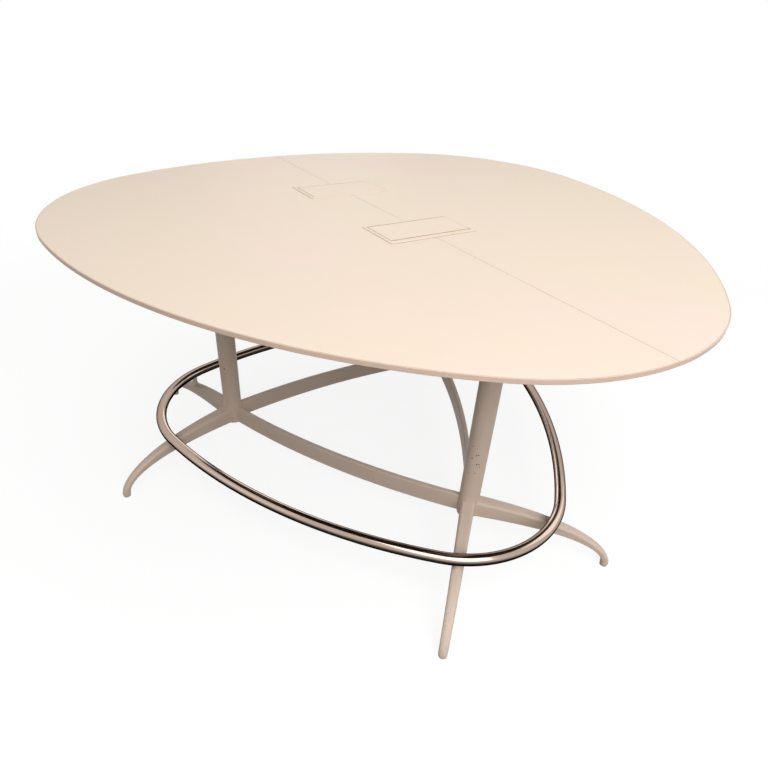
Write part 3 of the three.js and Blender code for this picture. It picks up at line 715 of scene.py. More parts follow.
def trim(finish):
    """Bezel: painted shade where it lies on the top, and in the gaps at the lid's ends and the front
    hinge.
    """
    x, y, z = finish.axes
    gap = sizes().lid_gap
    outer = x.size().near(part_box("rear_hatch_bezel")[1].x, BEZEL_SHADE)
    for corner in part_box("front_hatch_bezel"):
        outer = outer + y.near(corner.y, BEZEL_SHADE)
    inner = x.size().near(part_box("rear_hatch_lid")[1].x + gap, GAP_SHADE)
    inner = inner + y.near(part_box("front_hatch_lid")[1].y + gap, GAP_SHADE)
    # Darker colour low on the bezel's outer edge and low in the lid gaps: painted shade
    gap_shade = outer * (z < TOP_HIGH.z + BEZEL_SHADE) + inner * (z < TOP_HIGH.z + GAP_SHADE_RISE)
    return hatch_satin(finish, gap_shade.least(0.9))


def lid(finish):
    """Lid: tan at the finger edge and below, with painted shade at its ends and round the front hinge.
    """
    x, y, z = finish.axes
    low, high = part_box("rear_hatch_lid")
    ends = x.size().near(high.x, LID_FACE)
    hinge = y.near(middle("front_hinge_pin").y, (high.z - low.z) / 2)
    # Darker ends and lower hinge round: painted shade of the gaps
    gap_shade = ends.most(hinge * (z < high.z - HINGE_SHADE_DEPTH))
    return hatch_satin(finish, gap_shade, tan=z < high.z - LID_FACE)


def edge(finish):
    """Edge band with a fine level grain and a few darker scuffs."""
    shade = colours().edge
    cloud = finish.noise(8, 4)
    scuff = finish.ramp(finish.noise(34, 5, 0.65), (0.62, 0), (0.72, 1))
    body = finish.mottle(cloud, shade, 0.93, 1.05)
    grain = finish.noise(160, 3, stretch=(1, 1, 12))
    return finish.shade(
        {
            "Base Color": finish.mix(scuff * 0.25, body, tint(shade, 0.72)),
            "Roughness": 0.4 + 0.15 * cloud,
            "Normal": finish.bump(grain, 0.1, 0.0002),
        }
    )


def chips(finish, scale, worn, spots):
    """1 on small bare specks, which crowd where the paint is worn and round a few spots."""
    for centre, squeeze, reach in spots:
        offset = finish.place
        for operation, value in (("SUBTRACT", centre), ("MULTIPLY", squeeze)):
            offset = finish.add("ShaderNodeVectorMath", {0: offset, 1: value}, operation=operation)
        worn = worn + finish.ramp(finish.distance(offset), (0.0, 1), (reach, 0))
    specks = finish.add("ShaderNodeTexVoronoi", {"Vector": finish.place, "Scale": scale})
    ragged = specks + 0.08 * finish.noise(3 * scale, 2)
    patchy = finish.ramp(finish.noise(0.54 * scale, 1), (0.4, 0), (0.54, 1))
    return ragged < 0.02 + 0.29 * worn * patchy


def paint(finish):
    """Satin paint with a faint orange peel, a few chips and faint upright scuffs."""
    shades = colours()
    cloud = finish.noise(5, 4)
    worn = finish.ramp(finish.noise(7.5, 3), (0.6, 0), (0.68, 0.55))
    chip = chips(finish, 85.0, worn, COLUMN_CHIPS).most(chips(finish, 190.0, 0.0, LEG_CHIPS))
    streaks = finish.noise(1, 5, 0.7, stretch=(60, 60, 22))
    scuff = finish.ramp(streaks, (0.6, 0), (0.78, 1))
    body = finish.mottle(cloud, shades.paint, 0.94, 1.05)
    body = finish.mix(scuff * 0.16, body, tint(shades.paint, 0.7))
    peel = finish.bump(finish.noise(420, 2), 0.12, 0.0003)
    return finish.shade(
        {
            "Base Color": finish.mix(chip, body, shades.chip),
            "Roughness": 0.38 + 0.12 * cloud + 0.2 * chip,
            "Specular IOR Level": 0.22,
            "Normal": finish.bump(1 - chip, 0.35, 0.0004, peel),
        }
    )


def polished(finish):
    """Bronze-toned tube with lengthwise polishing marks. Its colour is painted light on the upper side
    and near black below, as painted reflection and painted shade, and its edge tint is that near-black
    too.
    """
    shades = colours()
    cloud = finish.noise(9, 4)
    marks = finish.noise(1, 3, stretch=(14, 14, 900))
    up = (finish.axes[2] - RING_HEIGHT) * (2 / RING_DIAMETER)
    # Ring colour above and near black below, by height in the tube: a painted reflection and painted
    # shade
    painted_light_share = finish.ramp(up + 0.06 * marks, (0.22, 0), (0.56, 1))
    body = finish.mottle(cloud, shades.ring, 0.92, 1.06)
    return finish.shade(
        {
            "Base Color": finish.mix(painted_light_share, shades.ring_painted_shade, body),
            "Roughness": 0.2 + 0.06 * cloud - 0.08 * painted_light_share,
            "Metallic": 1.0,
            "Specular Tint": shades.ring_painted_shade,
            "Normal": finish.bump(marks, 0.03, 0.0001),
        }
    )


def hardware(finish):
    """Plated steel."""
    cloud = finish.noise(60, 4)
    return finish.shade(
        {
            "Base Color": finish.mottle(cloud, colours().hardware, 0.85, 1.1),
            "Roughness": 0.28 + 0.18 * cloud,
            "Metallic": 1.0,
            "Normal": finish.bump(finish.noise(600, 2), 0.06, 0.0002),
        }
    )


def sheet(finish):
    """Sheet metal with a gritty black coat."""
    grit = finish.noise(800, 2)
    return finish.shade(
        {
            "Base Color": finish.mottle(finish.noise(14, 3), colours().sheet, 0.85, 1.2),
            "Roughness": 0.5 + 0.15 * grit,
            "Normal": finish.bump(grit, 0.3, 0.0003),
        }
    )


def plastic(finish):
    """Black plastic with a fine moulded grain."""
    cloud = finish.noise(22, 3)
    return finish.shade(
        {
            "Base Color": finish.mottle(cloud, colours().plastic, 0.9, 1.3),
            "Roughness": 0.42 + 0.12 * cloud,
            "Normal": finish.bump(finish.noise(1500, 2), 0.2, 0.0001),
        }
    )


def beech(finish):
    """Bare wood with its fibres along X."""
    fibre = finish.noise(1, 4, stretch=(30, 700, 700))
    return finish.shade(
        {
            "Base Color": finish.mottle(fibre, colours().beech, 0.8, 1.15),
            "Roughness": 0.7 + 0.15 * fibre,
            "Normal": finish.bump(fibre, 0.2, 0.0003),
        }
    )


def nylon(finish):
    """Pale nylon, grimy close to the floor."""
    shade = colours().nylon
    cloud = finish.noise(45, 4)
    grime = (finish.axes[2] < GLIDE_GRIME) * 0.5 * cloud
    body = finish.mottle(cloud, shade, 0.92, 1.05)
    return finish.shade(
        {
            "Base Color": finish.mix(grime, body, tint(shade, 0.35)),
            "Roughness": 0.42 + 0.15 * cloud,
            "Normal": finish.bump(finish.noise(900, 2), 0.1, 0.0002),
        }
    )


MAKERS = (laminate, trim, lid, edge, paint, polished, hardware, sheet, plastic, beech, nylon)
FINISHES = {maker.__name__: maker for maker in MAKERS}


def finished(name):
    """The material of that name, made when it is first asked for."""
    made = bpy.data.materials.get(name)
    return made or FINISHES[name](Finish(bpy.data.materials.new(name)))


def coat_nodes(finish, *nodes):
    """Gives carried-over solids their finish."""
    for node in nodes:
        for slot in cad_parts[node].material_slots:
            slot.material = finished(finish)


# Top and hatches


def halve(whole, side):
    """One side of a form that spans the seam; side is 1 for right and -1 for left."""
    half = copy(whole)
    with editing(half):
        cut_flat((side * sizes().seam_gap / 2, 0, 0), (side, 0, 0))
        close_up()
    return half


def top_arcs():
    low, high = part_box("edge_band_left")
    return bowed_arcs(AXIS.y - low.y - HAIR, high.y - AXIS.y - HAIR, sizes().top_corner_radius)


def hatch_room(hatch, growth, bottom, top):
    """Corners of the room for a lid and the slot beside it, grown on every side."""
    size = sizes()
    low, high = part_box(f"{hatch}_hatch_lid")
    before, after = size.lid_gap, size.cable_slot
    if hatch == "front":
        before, after = after, before
    return (
        Vector((low.x - size.lid_gap - growth, low.y - before - growth, bottom)),
        Vector((high.x + size.lid_gap + growth, high.y + after + growth, top)),
    )


def bolt_pockets(bolt):
    """Pockets under the top for a seam bolt's nuts and the rod between them."""
    low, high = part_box(bolt)
    centre = (low + high) / 2
    nut = high.y - low.y
    reach = (high.x - low.x - nut) / 2
    roof = high.z + CLEARANCE
    floor = TOP_LOW.z - OVERRUN
    half_rod = nut * SEAM_ROD_SHARE / 2
    for x in (-reach, reach):
        yield add_pillar(nut + 2 * CLEARANCE, Vector((x, centre.y, 0)), floor, roof)
    yield add_block(
        (-reach, centre.y - half_rod, floor), (reach, centre.y + half_rod, centre.z + half_rod)
    )


class CONFERENCE_TABLE_OT_top_panels(bpy.types.Operator):
    """Models the two halves of the top, with their hatch wells and bolt pockets"""

    bl_idname = "conference_table.top_panels"
    bl_label = "Top panels"

    def execute(self, context):
        size = sizes()
        start, outward, arcs = top_arcs()
        skirt = size.top_undercut - size.edge_thickness - CLEARANCE
        thickness = TOP_HIGH.z - TOP_LOW.z
        inset = size.edge_thickness + CLEARANCE + skirt / 2
        place = start - polar(inset, outward)
        place.z = TOP_LOW.z + thickness / 2
        core = add_plate(place, upright(outward), skirt, thickness)
        outer = beyond(place, outward)
        with editing(core):
            pick("VERT", lambda point: point.co.z > place.z and not outer(point))
            bpy.ops.mesh.delete(type="VERT")
            pick("VERT", lambda point: point.co.z < place.z and outer(point))
            bpy.ops.transform.translate(value=(0, 0, thickness - size.top_lip))
            round_points(BOARD_ROUND, steps=3)
            sweep(arcs)
            close_up()
            for face in (not_above(TOP_LOW.z), not_below(TOP_HIGH.z)):
                pick("EDGE", lambda edge: edge.is_boundary and face(edge))
                bpy.ops.mesh.edge_face_add()
            close_up()
        for hatch in ("front", "rear"):
            growth = size.collar_wall + CLEARANCE
            room = hatch_room(hatch, growth, TOP_LOW.z - OVERRUN, TOP_HIGH.z + OVERRUN)
            combine(core, "DIFFERENCE", add_block(*room))
        for bolt in ("front", "centre", "rear"):
            combine(core, "DIFFERENCE", *bolt_pockets(f"seam_bolt_{bolt}"))
        upper = not_below(TOP_HIGH.z)

        def on_seam(edge):
            return upper(edge) and all(abs(point.co.x) < size.seam_gap for point in edge.verts)

        for name, side in SIDES.items():
            panel = bevel_edges(halve(core, side), on_seam, size.seam_arris, steps=2)
            dress(panel, f"top_{name}_board", "laminate", [f"top_panel_{name}"])
        bpy.data.objects.remove(core)
        return {"FINISHED"}


class CONFERENCE_TABLE_OT_edge_bands(bpy.types.Operator):
    """Models the band round each half of the top"""

    bl_idname = "conference_table.edge_bands"
    bl_label = "Edge bands"

    def execute(self, context):
        size = sizes()
        start, outward, arcs = top_arcs()
        place = start - polar(size.edge_thickness / 2, outward)
        place.z = TOP_HIGH.z - size.top_lip / 2
        band = add_plate(place, upright(outward), size.edge_thickness, size.top_lip)
        with editing(band):
            pick("VERT", beyond(place, outward))
            round_points(size.edge_round, steps=5)
            keep_outline()
            sweep(arcs)
            close_up()
        for name, side in SIDES.items():
            dress(halve(band, side), f"band_{name}", "edge", [f"edge_band_{name}"])
        bpy.data.objects.remove(band)
        return {"FINISHED"}


def dress_pair(rear, name, finish, node, body=None):
    """Dresses a piece of the rear hatch, and a copy of it turned round for the front one."""
    turn = Matrix.Rotation(math.pi, 4, "Z") @ Matrix.Translation(-middle("rear_hatch_lid"))
    front = copy(rear, Matrix.Translation(middle("front_hatch_lid")) @ turn)
    for hatch, piece in (("front", front), ("rear", rear)):
        carrier = f"{hatch}_{body}" if body else "frame"
        dress(piece, f"{hatch}_{name}", finish, [f"{hatch}_{node}"], carrier)


def hinge_bore():
    """The bore round the rear hinge pin, past both its ends."""
    low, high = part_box("rear_hinge_pin")
    centre = (low + high) / 2
    start, end = (Vector((x, centre.y, centre.z)) for x in (low.x - OVERRUN, high.x + OVERRUN))
    return add_rod(sizes().hinge_bore, start, end, sides=24)


class CONFERENCE_TABLE_OT_hatch_bezels(bpy.types.Operator):
    """Models the bezels round the power hatches, with their collars and ledges"""

    bl_idname = "conference_table.hatch_bezels"
    bl_label = "Hatch bezels"

    def execute(self, context):
        size = sizes()
        low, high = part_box("rear_hatch_bezel")
        upper = not_below(high.z)
        bezel = add_block((low.x, low.y, TOP_HIGH.z + CLEARANCE), high, size.bezel_corner)
        bevel_edges(bezel, upper, size.bezel_round, steps=4)
        collar_top = TOP_HIGH.z + size.bezel_proud / 2
        collar = hatch_room("rear", size.collar_wall, low.z, collar_top)
        combine(bezel, "UNION", add_block(*collar))
        hole_low, hole_high = hatch_room("rear", 0, low.z - OVERRUN, high.z + OVERRUN)
        combine(bezel, "DIFFERENCE", add_block(hole_low, hole_high))

        def round_hole(edge):
            return upper(edge) and all(
                hole_low[axis] - NEAR < point.co[axis] < hole_high[axis] + NEAR
                for point in edge.verts
                for axis in (0, 1)
            )

        bevel_edges(bezel, round_hole, size.bezel_round * INNER_ROUND_SHARE)
        lid_low, lid_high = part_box("rear_hatch_lid")
        ledge_top = lid_low.z - CLEARANCE
        ledge_y = (lid_low.y + lid_high.y) / 2
        for side in SIDES.values():
            inner = side * (hole_high.x - size.ledge_reach)
            outer = side * (hole_high.x + size.collar_wall / 2)
            ledge = add_block(
                (min(inner, outer), ledge_y - size.ledge_length / 2, ledge_top - size.ledge_thickness),
                (max(inner, outer), ledge_y + size.ledge_length / 2, ledge_top),
            )
            combine(bezel, "UNION", ledge)
        combine(bezel, "DIFFERENCE", hinge_bore())
        dress_pair(bezel, "bezel", "trim", "hatch_bezel")
        return {"FINISHED"}


class CONFERENCE_TABLE_OT_hatch_lids(bpy.types.Operator):
    """Models the flip-up lids, round at the hinge and undercut at the finger edge"""

    bl_idname = "conference_table.hatch_lids"
    bl_label = "Hatch lids"

    def execute(self, context):
        size = sizes()
        low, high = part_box("rear_hatch_lid")
        centre = (low + high) / 2
        thick = high.z - low.z
        end = Vector((low.x, centre.y, centre.z))
        plate = add_plate(end, upright(math.pi / 2), high.y - low.y, thick)
        with editing(plate):
            pick("VERT", lambda point: point.co.y < centre.y)
            round_points(thick / 2 - NEAR, steps=8)
            pick("VERT", lambda point: point.co.y > high.y - NEAR and point.co.z < centre.z)
            round_points(size.lid_chamfer, steps=2)
            pick("VERT", lambda point: point.co.y > high.y - NEAR and point.co.z > high.z - NEAR)
            round_points(LID_ROUND, steps=3)
            push(x=high.x - low.x)
            close_up()
        combine(plate, "DIFFERENCE", hinge_bore())
        pin = middle("rear_hinge_pin")

        def round_end(edge):
            first, second = (point.co for point in edge.verts)
            return first.x * second.x > 0 and all(
                abs(abs(place.x) - high.x) < NEAR
                and (place - pin).yz.length > size.hinge_bore / 2 + CLEARANCE
                for place in (first, second)
            )

        bevel_edges(plate, round_end, ARRIS, steps=2)
        dress_pair(plate, "lid_plate", "lid", "hatch_lid", "lid")
        return {"FINISHED"}


class CONFERENCE_TABLE_OT_power_boxes(bpy.types.Operator):
    """Models the sheet boxes that hang under the hatches"""

    bl_idname = "conference_table.power_boxes"
    bl_label = "Power boxes"

    def execute(self, context):
        size = sizes()
        low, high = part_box("rear_power_box")
        flange = Vector((size.box_flange, size.box_flange, 0))
        skirt = flange - Vector((size.box_sheet, size.box_sheet, 0))
        tray = add_block(low + skirt, high - skirt, size.box_corner + size.box_sheet)
        bevel_edges(tray, not_above(low.z), BOX_ROUND)
        rim = add_block((low.x, low.y, high.z - size.box_sheet), high, size.box_corner)
        combine(tray, "UNION", rim)
        room_low, room_high = low + flange, high - flange
        room_low.z += size.box_sheet
        room_high.z += OVERRUN
        room = add_block(room_low, room_high, size.box_corner)
        bore = size.gland_body + 2 * CLEARANCE
        gland = middle("rear_cable_gland")
        hole = add_pillar(bore, gland, low.z - OVERRUN, low.z + OVERRUN)
        combine(tray, "DIFFERENCE", room, hole)
        dress_pair(tray, "tray", "sheet", "power_box")
        return {"FINISHED"}


class CONFERENCE_TABLE_OT_outlet_strips(bpy.types.Operator):
    """Models the outlet strips, with a row of plain round sockets on the slope"""

    bl_idname = "conference_table.outlet_strips"
    bl_label = "Outlet strips"

    def execute(self, context):
        size = sizes()
        low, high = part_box("rear_outlet_strip")
        centre = (low + high) / 2
        end = Vector((low.x, centre.y, centre.z))
        strip = add_plate(end, upright(math.pi / 2), high.y - low.y, high.z - low.z)
        foot = Vector((centre.x, high.y, low.z + size.outlet_shoulder))
        crown = Vector((centre.x, low.y + size.outlet_crown, high.z))
        slope = (crown - foot).normalized()
        outward = Vector((0, slope.z, -slope.y))
        with editing(strip):
            bpy.ops.mesh.bisect(plane_co=foot, plane_no=outward, clear_outer=True)
            bpy.ops.mesh.select_all(action="SELECT")
            push(x=high.x - low.x)
            close_up()
            bpy.ops.mesh.bevel(offset=OUTLET_ROUND, segments=4, affect="EDGES")
        over = outward * OVERRUN
        for index in range(OUTLETS):
            face = (foot + crown) / 2
            face.x += (index - (OUTLETS - 1) / 2) * size.outlet_pitch
            dish = add_rod(size.socket_diameter, face - outward * size.socket_depth, face + over)
            combine(strip, "DIFFERENCE", dish)
            for side in SIDES.values():
                hole = face + slope * side * SOCKET_HOLE_OFFSET
                bottom = hole - outward * SOCKET_HOLE_DEPTH
                combine(strip, "DIFFERENCE", add_rod(SOCKET_HOLE, bottom, hole + over, sides=20))
        dress_pair(strip, "outlets", "plastic", "outlet_strip")
        return {"FINISHED"}


class CONFERENCE_TABLE_OT_cable_glands(bpy.types.Operator):
    """Models the glands where a cable leaves a power box"""

    bl_idname = "conference_table.cable_glands"
    bl_label = "Cable glands"

    def execute(self, context):
        size = sizes()
        low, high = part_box("rear_cable_gland")
        place = (low + high) / 2
        rim = high.x - low.x
        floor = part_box("rear_power_box")[0].z
        under, over = floor - CLEARANCE, floor + size.box_sheet + CLEARANCE
        gland = bevel_edges(add_pillar(rim, place, over, high.z), level, GLAND_ROUND)
        nut = add_pillar(rim, place, low.z, under, sides=6)
        bevel_edges(nut, lambda edge: True, GLAND_ROUND)
        body = add_pillar(size.gland_body, place, under - GLAND_OVERLAP, over + GLAND_OVERLAP)
        combine(gland, "UNION", body, nut)
        bore = add_pillar(size.gland_bore, place, low.z - OVERRUN, high.z + OVERRUN, sides=BORE_SIDES)
        combine(gland, "DIFFERENCE", bore)
        dress_pair(gland, "gland", "plastic", "cable_gland")
        return {"FINISHED"}


# Base


def column_tube():
    """Column on a branch drawn along +X, open at both ends."""
    tube = add_pillar(COLUMN_DIAMETER, HUB, COLUMN_LOW.z, COLUMN_HIGH.z, sides=COLUMN_SIDES)
    with editing(tube):
        pick("FACE", lambda face: faces_up(face) or faces_down(face))
        bpy.ops.mesh.delete(type="FACE")
    modify(tube, "SOLIDIFY", thickness=sizes().column_wall, offset=-1)
    return bevel_edges(tube, on_rim(HUB, COLUMN_DIAMETER), ARRIS, steps=2)


def column_cap():
    """Cap under a column, with a plug up into the tube."""
    low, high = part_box("front_column_cap")
    shoulder = COLUMN_LOW.z - CLEARANCE
    cap = add_pillar(COLUMN_DIAMETER, HUB, low.z, shoulder, sides=COLUMN_SIDES)
    with editing(cap):
        pick("FACE", faces_up)
        bpy.ops.mesh.inset(thickness=sizes().column_wall + CLEARANCE)
        push(z=high.z - shoulder)
    return bevel_edges(cap, not_above(low.z), CAP_ROUND, steps=4)


def mounting_plate():
    """Plate under the top, with a hollow spigot down into the column."""
    low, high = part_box("front_mounting_plate")
    diameter = high.x - low.x
    spigot = low.z - PLATE_UNDERSIDE
    plate = add_pillar(diameter, HUB, PLATE_UNDERSIDE, high.z, sides=COLUMN_SIDES)
    with editing(plate):
        pick("FACE", faces_down)
        flange = diameter / 2 - COLUMN_DIAMETER / 2 + sizes().column_wall + CLEARANCE
        bpy.ops.mesh.inset(thickness=flange)
        push(z=spigot)
        bpy.ops.mesh.inset(thickness=SPIGOT_WALL)
        push(z=-spigot * SPIGOT_HOLLOW_SHARE)
    return bevel_edges(plate, on_rim(HUB, diameter), PLATE_ROUND)


def plate_screws():
    """Low round screw heads with six-sided sockets, hanging from a plate."""
    low = PLATE_UNDERSIDE - SCREW_HEIGHT
    heads = []
    for index in range(PLATE_SCREWS):
        place = HUB + polar(SCREW_CIRCLE / 2, (index + 0.5) * math.tau / PLATE_SCREWS)
        head = add_pillar(SCREW_HEAD, place, low, PLATE_UNDERSIDE, sides=BORE_SIDES)
        bevel_edges(head, not_above(low), SCREW_ROUND, steps=5)
        socket = add_pillar(SCREW_SOCKET, place, low - OVERRUN, low + SCREW_SOCKET_DEPTH, sides=6)
        heads.append(combine(head, "DIFFERENCE", socket))
    return join(*heads)


class CONFERENCE_TABLE_OT_columns(bpy.types.Operator):
    """Models the three columns, the caps in their feet and the plates under the top"""

    bl_idname = "conference_table.columns"
    bl_label = "Columns"

    def execute(self, context):
        patterns = [column_tube(), column_cap(), mounting_plate(), plate_screws()]
        for hub, angle in HUBS.items():
            turn = turn_about_axis(angle)
            tube, cap, plate, screws = (copy(pattern, turn) for pattern in patterns)
            dress(tube, f"{hub}_tube", "paint", [f"{hub}_column"])
            dress(cap, f"{hub}_foot_cap", "paint", [f"{hub}_column_cap"])
            dress(plate, f"{hub}_plate", "hardware", [f"{hub}_mounting_plate"])
            dress(screws, f"{hub}_plate_screws", "hardware")
        for pattern in patterns:
            bpy.data.objects.remove(pattern)
        return {"FINISHED"}


def column_room(place):
    """Cutter that leaves room for a column."""
    return add_pillar(COLUMN_DIAMETER + 2 * CLEARANCE, place, 0, CUTTER_LENGTH, sides=COLUMN_SIDES)


def leg_lines(run, tip):
    """Upper and lower line of a leg seen from the side: distance from the column, and height."""
    size = sizes()
    outer, inner = run + size.leg_tip / 2, run - size.leg_tip / 2
    top = (
        (0, size.leg_root_top),
        (outer, size.leg_root_top - size.leg_top_fall),
        (outer, tip),
        (outer, tip),
    )
    bottom = (
        (0, size.leg_root_bottom),
        (inner - size.leg_arch_run, size.leg_root_bottom + size.leg_arch_rise),
        (inner, tip + size.leg_instep),
        (inner, tip),
    )
    return [interpolate_bezier(*map(Vector, line), LEG_STATIONS) for line in (top, bottom)]


def leg_section(upper, lower, run):
    """Rounded rectangle between a point of the upper line and one of the lower line."""
    size = sizes()
    centre = (upper + lower) / 2
    across = upper - lower
    share = min(1, max(0, centre.x / run))
    width = size.leg_root_width + (size.leg_tip - size.leg_root_width) * share
    corner = size.leg_root_corner + (size.leg_tip / 2 - size.leg_root_corner) * share
    corner = min(corner, width / 2 - CLEARANCE, across.length / 2 - CLEARANCE)
    side = Vector((across.x, 0, across.y)).normalized()
    out = Vector((0, 1, 0))
    axes = Matrix((side, out, side.cross(out))).transposed()
    section = add_plate((centre.x, 0, centre.y), axes.to_euler(), across.length, width)
    with editing(section):
        round_points(corner, steps=7)
        keep_outline()
    return section


def ring_post(crossing, foot_height):
    """Round post from inside the leg to the middle of the ring, flared where it leaves the leg."""
    size = sizes()
    radius = size.post_diameter / 2
    start = foot_height - radius
    choose()
    bpy.ops.mesh.primitive_circle_add(
        vertices=POST_SIDES,
        radius=radius + size.post_flare,
        fill_type="NGON",
        location=(crossing.x, crossing.y, start),
    )
    post = settle()
    levels = [(foot_height, radius + size.post_flare)]
    for step in range(1, FLARE_STEPS + 1):
        rise = math.sin(step / FLARE_STEPS * math.pi / 2)
        flare = size.post_flare * (1 - rise) ** FLARE_CURVE
        levels.append((foot_height + size.post_flare_height * rise, radius + flare))
    levels.append((RING_HEIGHT - RING_DIAMETER / 4, radius))
    with editing(post):
        last_height, last_radius = start, radius + size.post_flare
        for height, reach in levels:
            push(z=height - last_height)
            factor = reach / last_radius
            pivot = (crossing.x, crossing.y, height)
            bpy.ops.transform.resize(value=(factor, factor, 1), center_override=pivot)
            last_height, last_radius = height, reach
        close_up()
    return post


def ring_arcs():
    radius = RING_DIAMETER / 2
    corner_reach = AXIS.y - RING_LOW.y - radius
    side_reach = RING_HIGH.y - AXIS.y - radius
    return bowed_arcs(corner_reach, side_reach, sizes().ring_corner_radius)


def add_hoop_section(start, outward, diameter, sides):
    """The round section of a hoop at the ring's height."""
    choose()
    bpy.ops.mesh.primitive_circle_add(
        vertices=sides,
        radius=diameter / 2,
        location=(start.x, start.y, RING_HEIGHT),
        rotation=upright(outward),
    )
    return settle()


def ring_cutter():
    """The ring's front corner with a little clearance, on a branch drawn along +X."""
    start, outward, arcs = ring_arcs()
    cutter = add_hoop_section(start, outward, RING_DIAMETER + 2 * CLEARANCE, sides=48)
    with editing(cutter):
        bpy.ops.mesh.edge_face_add()
        sweep(arcs[:1])
        close_up()
    return shift(cutter, turn_about_axis(FRONT).inverted())


class CONFERENCE_TABLE_OT_legs(bpy.types.Operator):
    """Models the six arched legs with their ring posts"""

    bl_idname = "conference_table.legs"
    bl_label = "Legs"

    def execute(self, context):
        foot = on_branch("front_glide_right")
        foot.z = 0
        run = (foot - HUB).length
        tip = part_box("front_leg_right")[0].z
        top, bottom = leg_lines(run, tip)
        leg = join(*(leg_section(upper, lower, run) for upper, lower in zip(top, bottom)))
        with editing(leg):
            bpy.ops.mesh.bridge_edge_loops()
            pick("EDGE", lambda edge: edge.is_boundary and edge.verts[0].co.x > run / 2)
            bpy.ops.mesh.edge_face_add()
            pick("EDGE", lambda edge: edge.is_boundary)
            bpy.ops.mesh.edge_face_add()
            close_up()
        bevel_edges(leg, not_above(tip), TIP_ROUND)
        lean = math.atan2(foot.y, foot.x - HUB.x)
        shift(leg, Matrix.Translation(HUB) @ Matrix.Rotation(lean, 4, "Z"))
        crossing = on_branch("front_ring_screw_right")
        reach = (crossing - HUB).xy.length
        foot_height = next(point.y for point in top if point.x > reach)
        combine(leg, "UNION", ring_post(crossing, foot_height))
        screw_low, screw_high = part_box("front_ring_screw_right")
        head = screw_high.x - screw_low.x + 2 * CLEARANCE
        seat = screw_low.z + RING_SCREW_HEAD_HEIGHT + CLEARANCE
        combine(
            leg,
            "DIFFERENCE",
            ring_cutter(),
            column_room(HUB),
            add_pillar(head, crossing, seat - CUTTER_LENGTH, seat, sides=BORE_SIDES),
            add_pillar(GLIDE_STEM + 2 * CLEARANCE, foot, 0, tip + GLIDE_BORE_DEPTH, sides=BORE_SIDES),
        )
        with editing(leg):
            cut_flat((0, CLEARANCE / 2, 0), (0, 1, 0))
        for hub, place, side in LEGS:
            move = turn_about_axis(HUBS[hub]) @ Matrix.Diagonal((1, side, 1, 1))
            name = f"{hub}_leg_{place}"
            dress(copy(leg, move), f"{name}_casting", "paint", [name], smooth=38)
        bpy.data.objects.remove(leg)
        return {"FINISHED"}


class CONFERENCE_TABLE_OT_foot_ring(bpy.types.Operator):
    """Models the polished foot ring"""

    bl_idname = "conference_table.foot_ring"
    bl_label = "Foot ring"

    def execute(self, context):
        start, outward, arcs = ring_arcs()
        ring = add_hoop_section(start, outward, RING_DIAMETER, RING_SIDES)
        with editing(ring):
            sweep(arcs)
            close_up()
        dress(ring, "ring_tube", "polished", ["foot_ring"], smooth=60)
        return {"FINISHED"}


class CONFERENCE_TABLE_OT_stretchers(bpy.types.Operator):
    """Models the three bowed stretchers between the columns"""

    bl_idname = "conference_table.stretchers"
    bl_label = "Stretchers"

    def execute(self, context):
        size = sizes()
        low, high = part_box("rear_stretcher")
        hub = polar(HUB_REACH, THIRD / 2)
        bow = high.y - AXIS.y - size.stretcher_width / 2 - hub.x
        radius = (hub.y**2 + bow**2) / (2 * bow)
        centre = Vector((hub.x + bow - radius, 0, 0))
        half = math.asin(hub.y / radius)
        start = centre + polar(radius, -half)
        start.z = (low.z + high.z) / 2
        bar = add_plate(start, upright(-half), size.stretcher_width, high.z - low.z)
        with editing(bar):
            round_points(size.stretcher_corner, steps=6)
            bpy.ops.mesh.spin(steps=STRETCHER_STEPS, angle=2 * half, center=centre, axis=(0, 0, -1))
            close_up()
        for side in (1, -1):
            combine(bar, "DIFFERENCE", column_room(polar(HUB_REACH, side * THIRD / 2)))
        for name, angle in STRETCHERS.items():
            piece = copy(bar, turn_about_axis(angle))
            dress(piece, f"{name}_bar", "paint", [f"{name}_stretcher"])
        bpy.data.objects.remove(bar)
        return {"FINISHED"}


# One turn of thread: share of the pitch, and the change of diameter over it
THREAD = ((0.2, 1.0), (0.3, THREAD_ROOT), (0.2, 1.0), (0.3, 1 / THREAD_ROOT))


class CONFERENCE_TABLE_OT_glides(bpy.types.Operator):
    """Models the screw-in glides under the legs"""

    bl_idname = "conference_table.glides"
    bl_label = "Glides"

    def execute(self, context):
        low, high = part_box("front_glide_right")
        centre = (low + high) / 2
        place = Vector((centre.x, centre.y, 0))
        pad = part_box("front_leg_right")[0].z - CLEARANCE
        diameter = high.x - low.x
        pitch = (high.z - pad) / THREAD_TURNS
        glide = bevel_edges(add_pillar(diameter, place, 0, pad), level, GLIDE_ROUND, steps=4)
        with editing(glide):
            pick("FACE", lambda face: faces_up(face) and face.calc_center_median().z > pad - NEAR)
            bpy.ops.mesh.inset(thickness=(diameter - GLIDE_STEM) / 2 - GLIDE_ROUND)
            for share, factor in THREAD * THREAD_TURNS:
                push(z=pitch * share)
                bpy.ops.transform.resize(value=(factor, factor, 1), center_override=place)
        for hub, spot, _ in LEGS:
            node = f"{hub}_glide_{spot}"
            piece = copy(glide, Matrix.Translation(middle(node) - centre))
            dress(piece, f"{node}_pad", "nylon", [node], f"glide_{hub}_{spot}")
        bpy.data.objects.remove(glide)
        return {"FINISHED"}


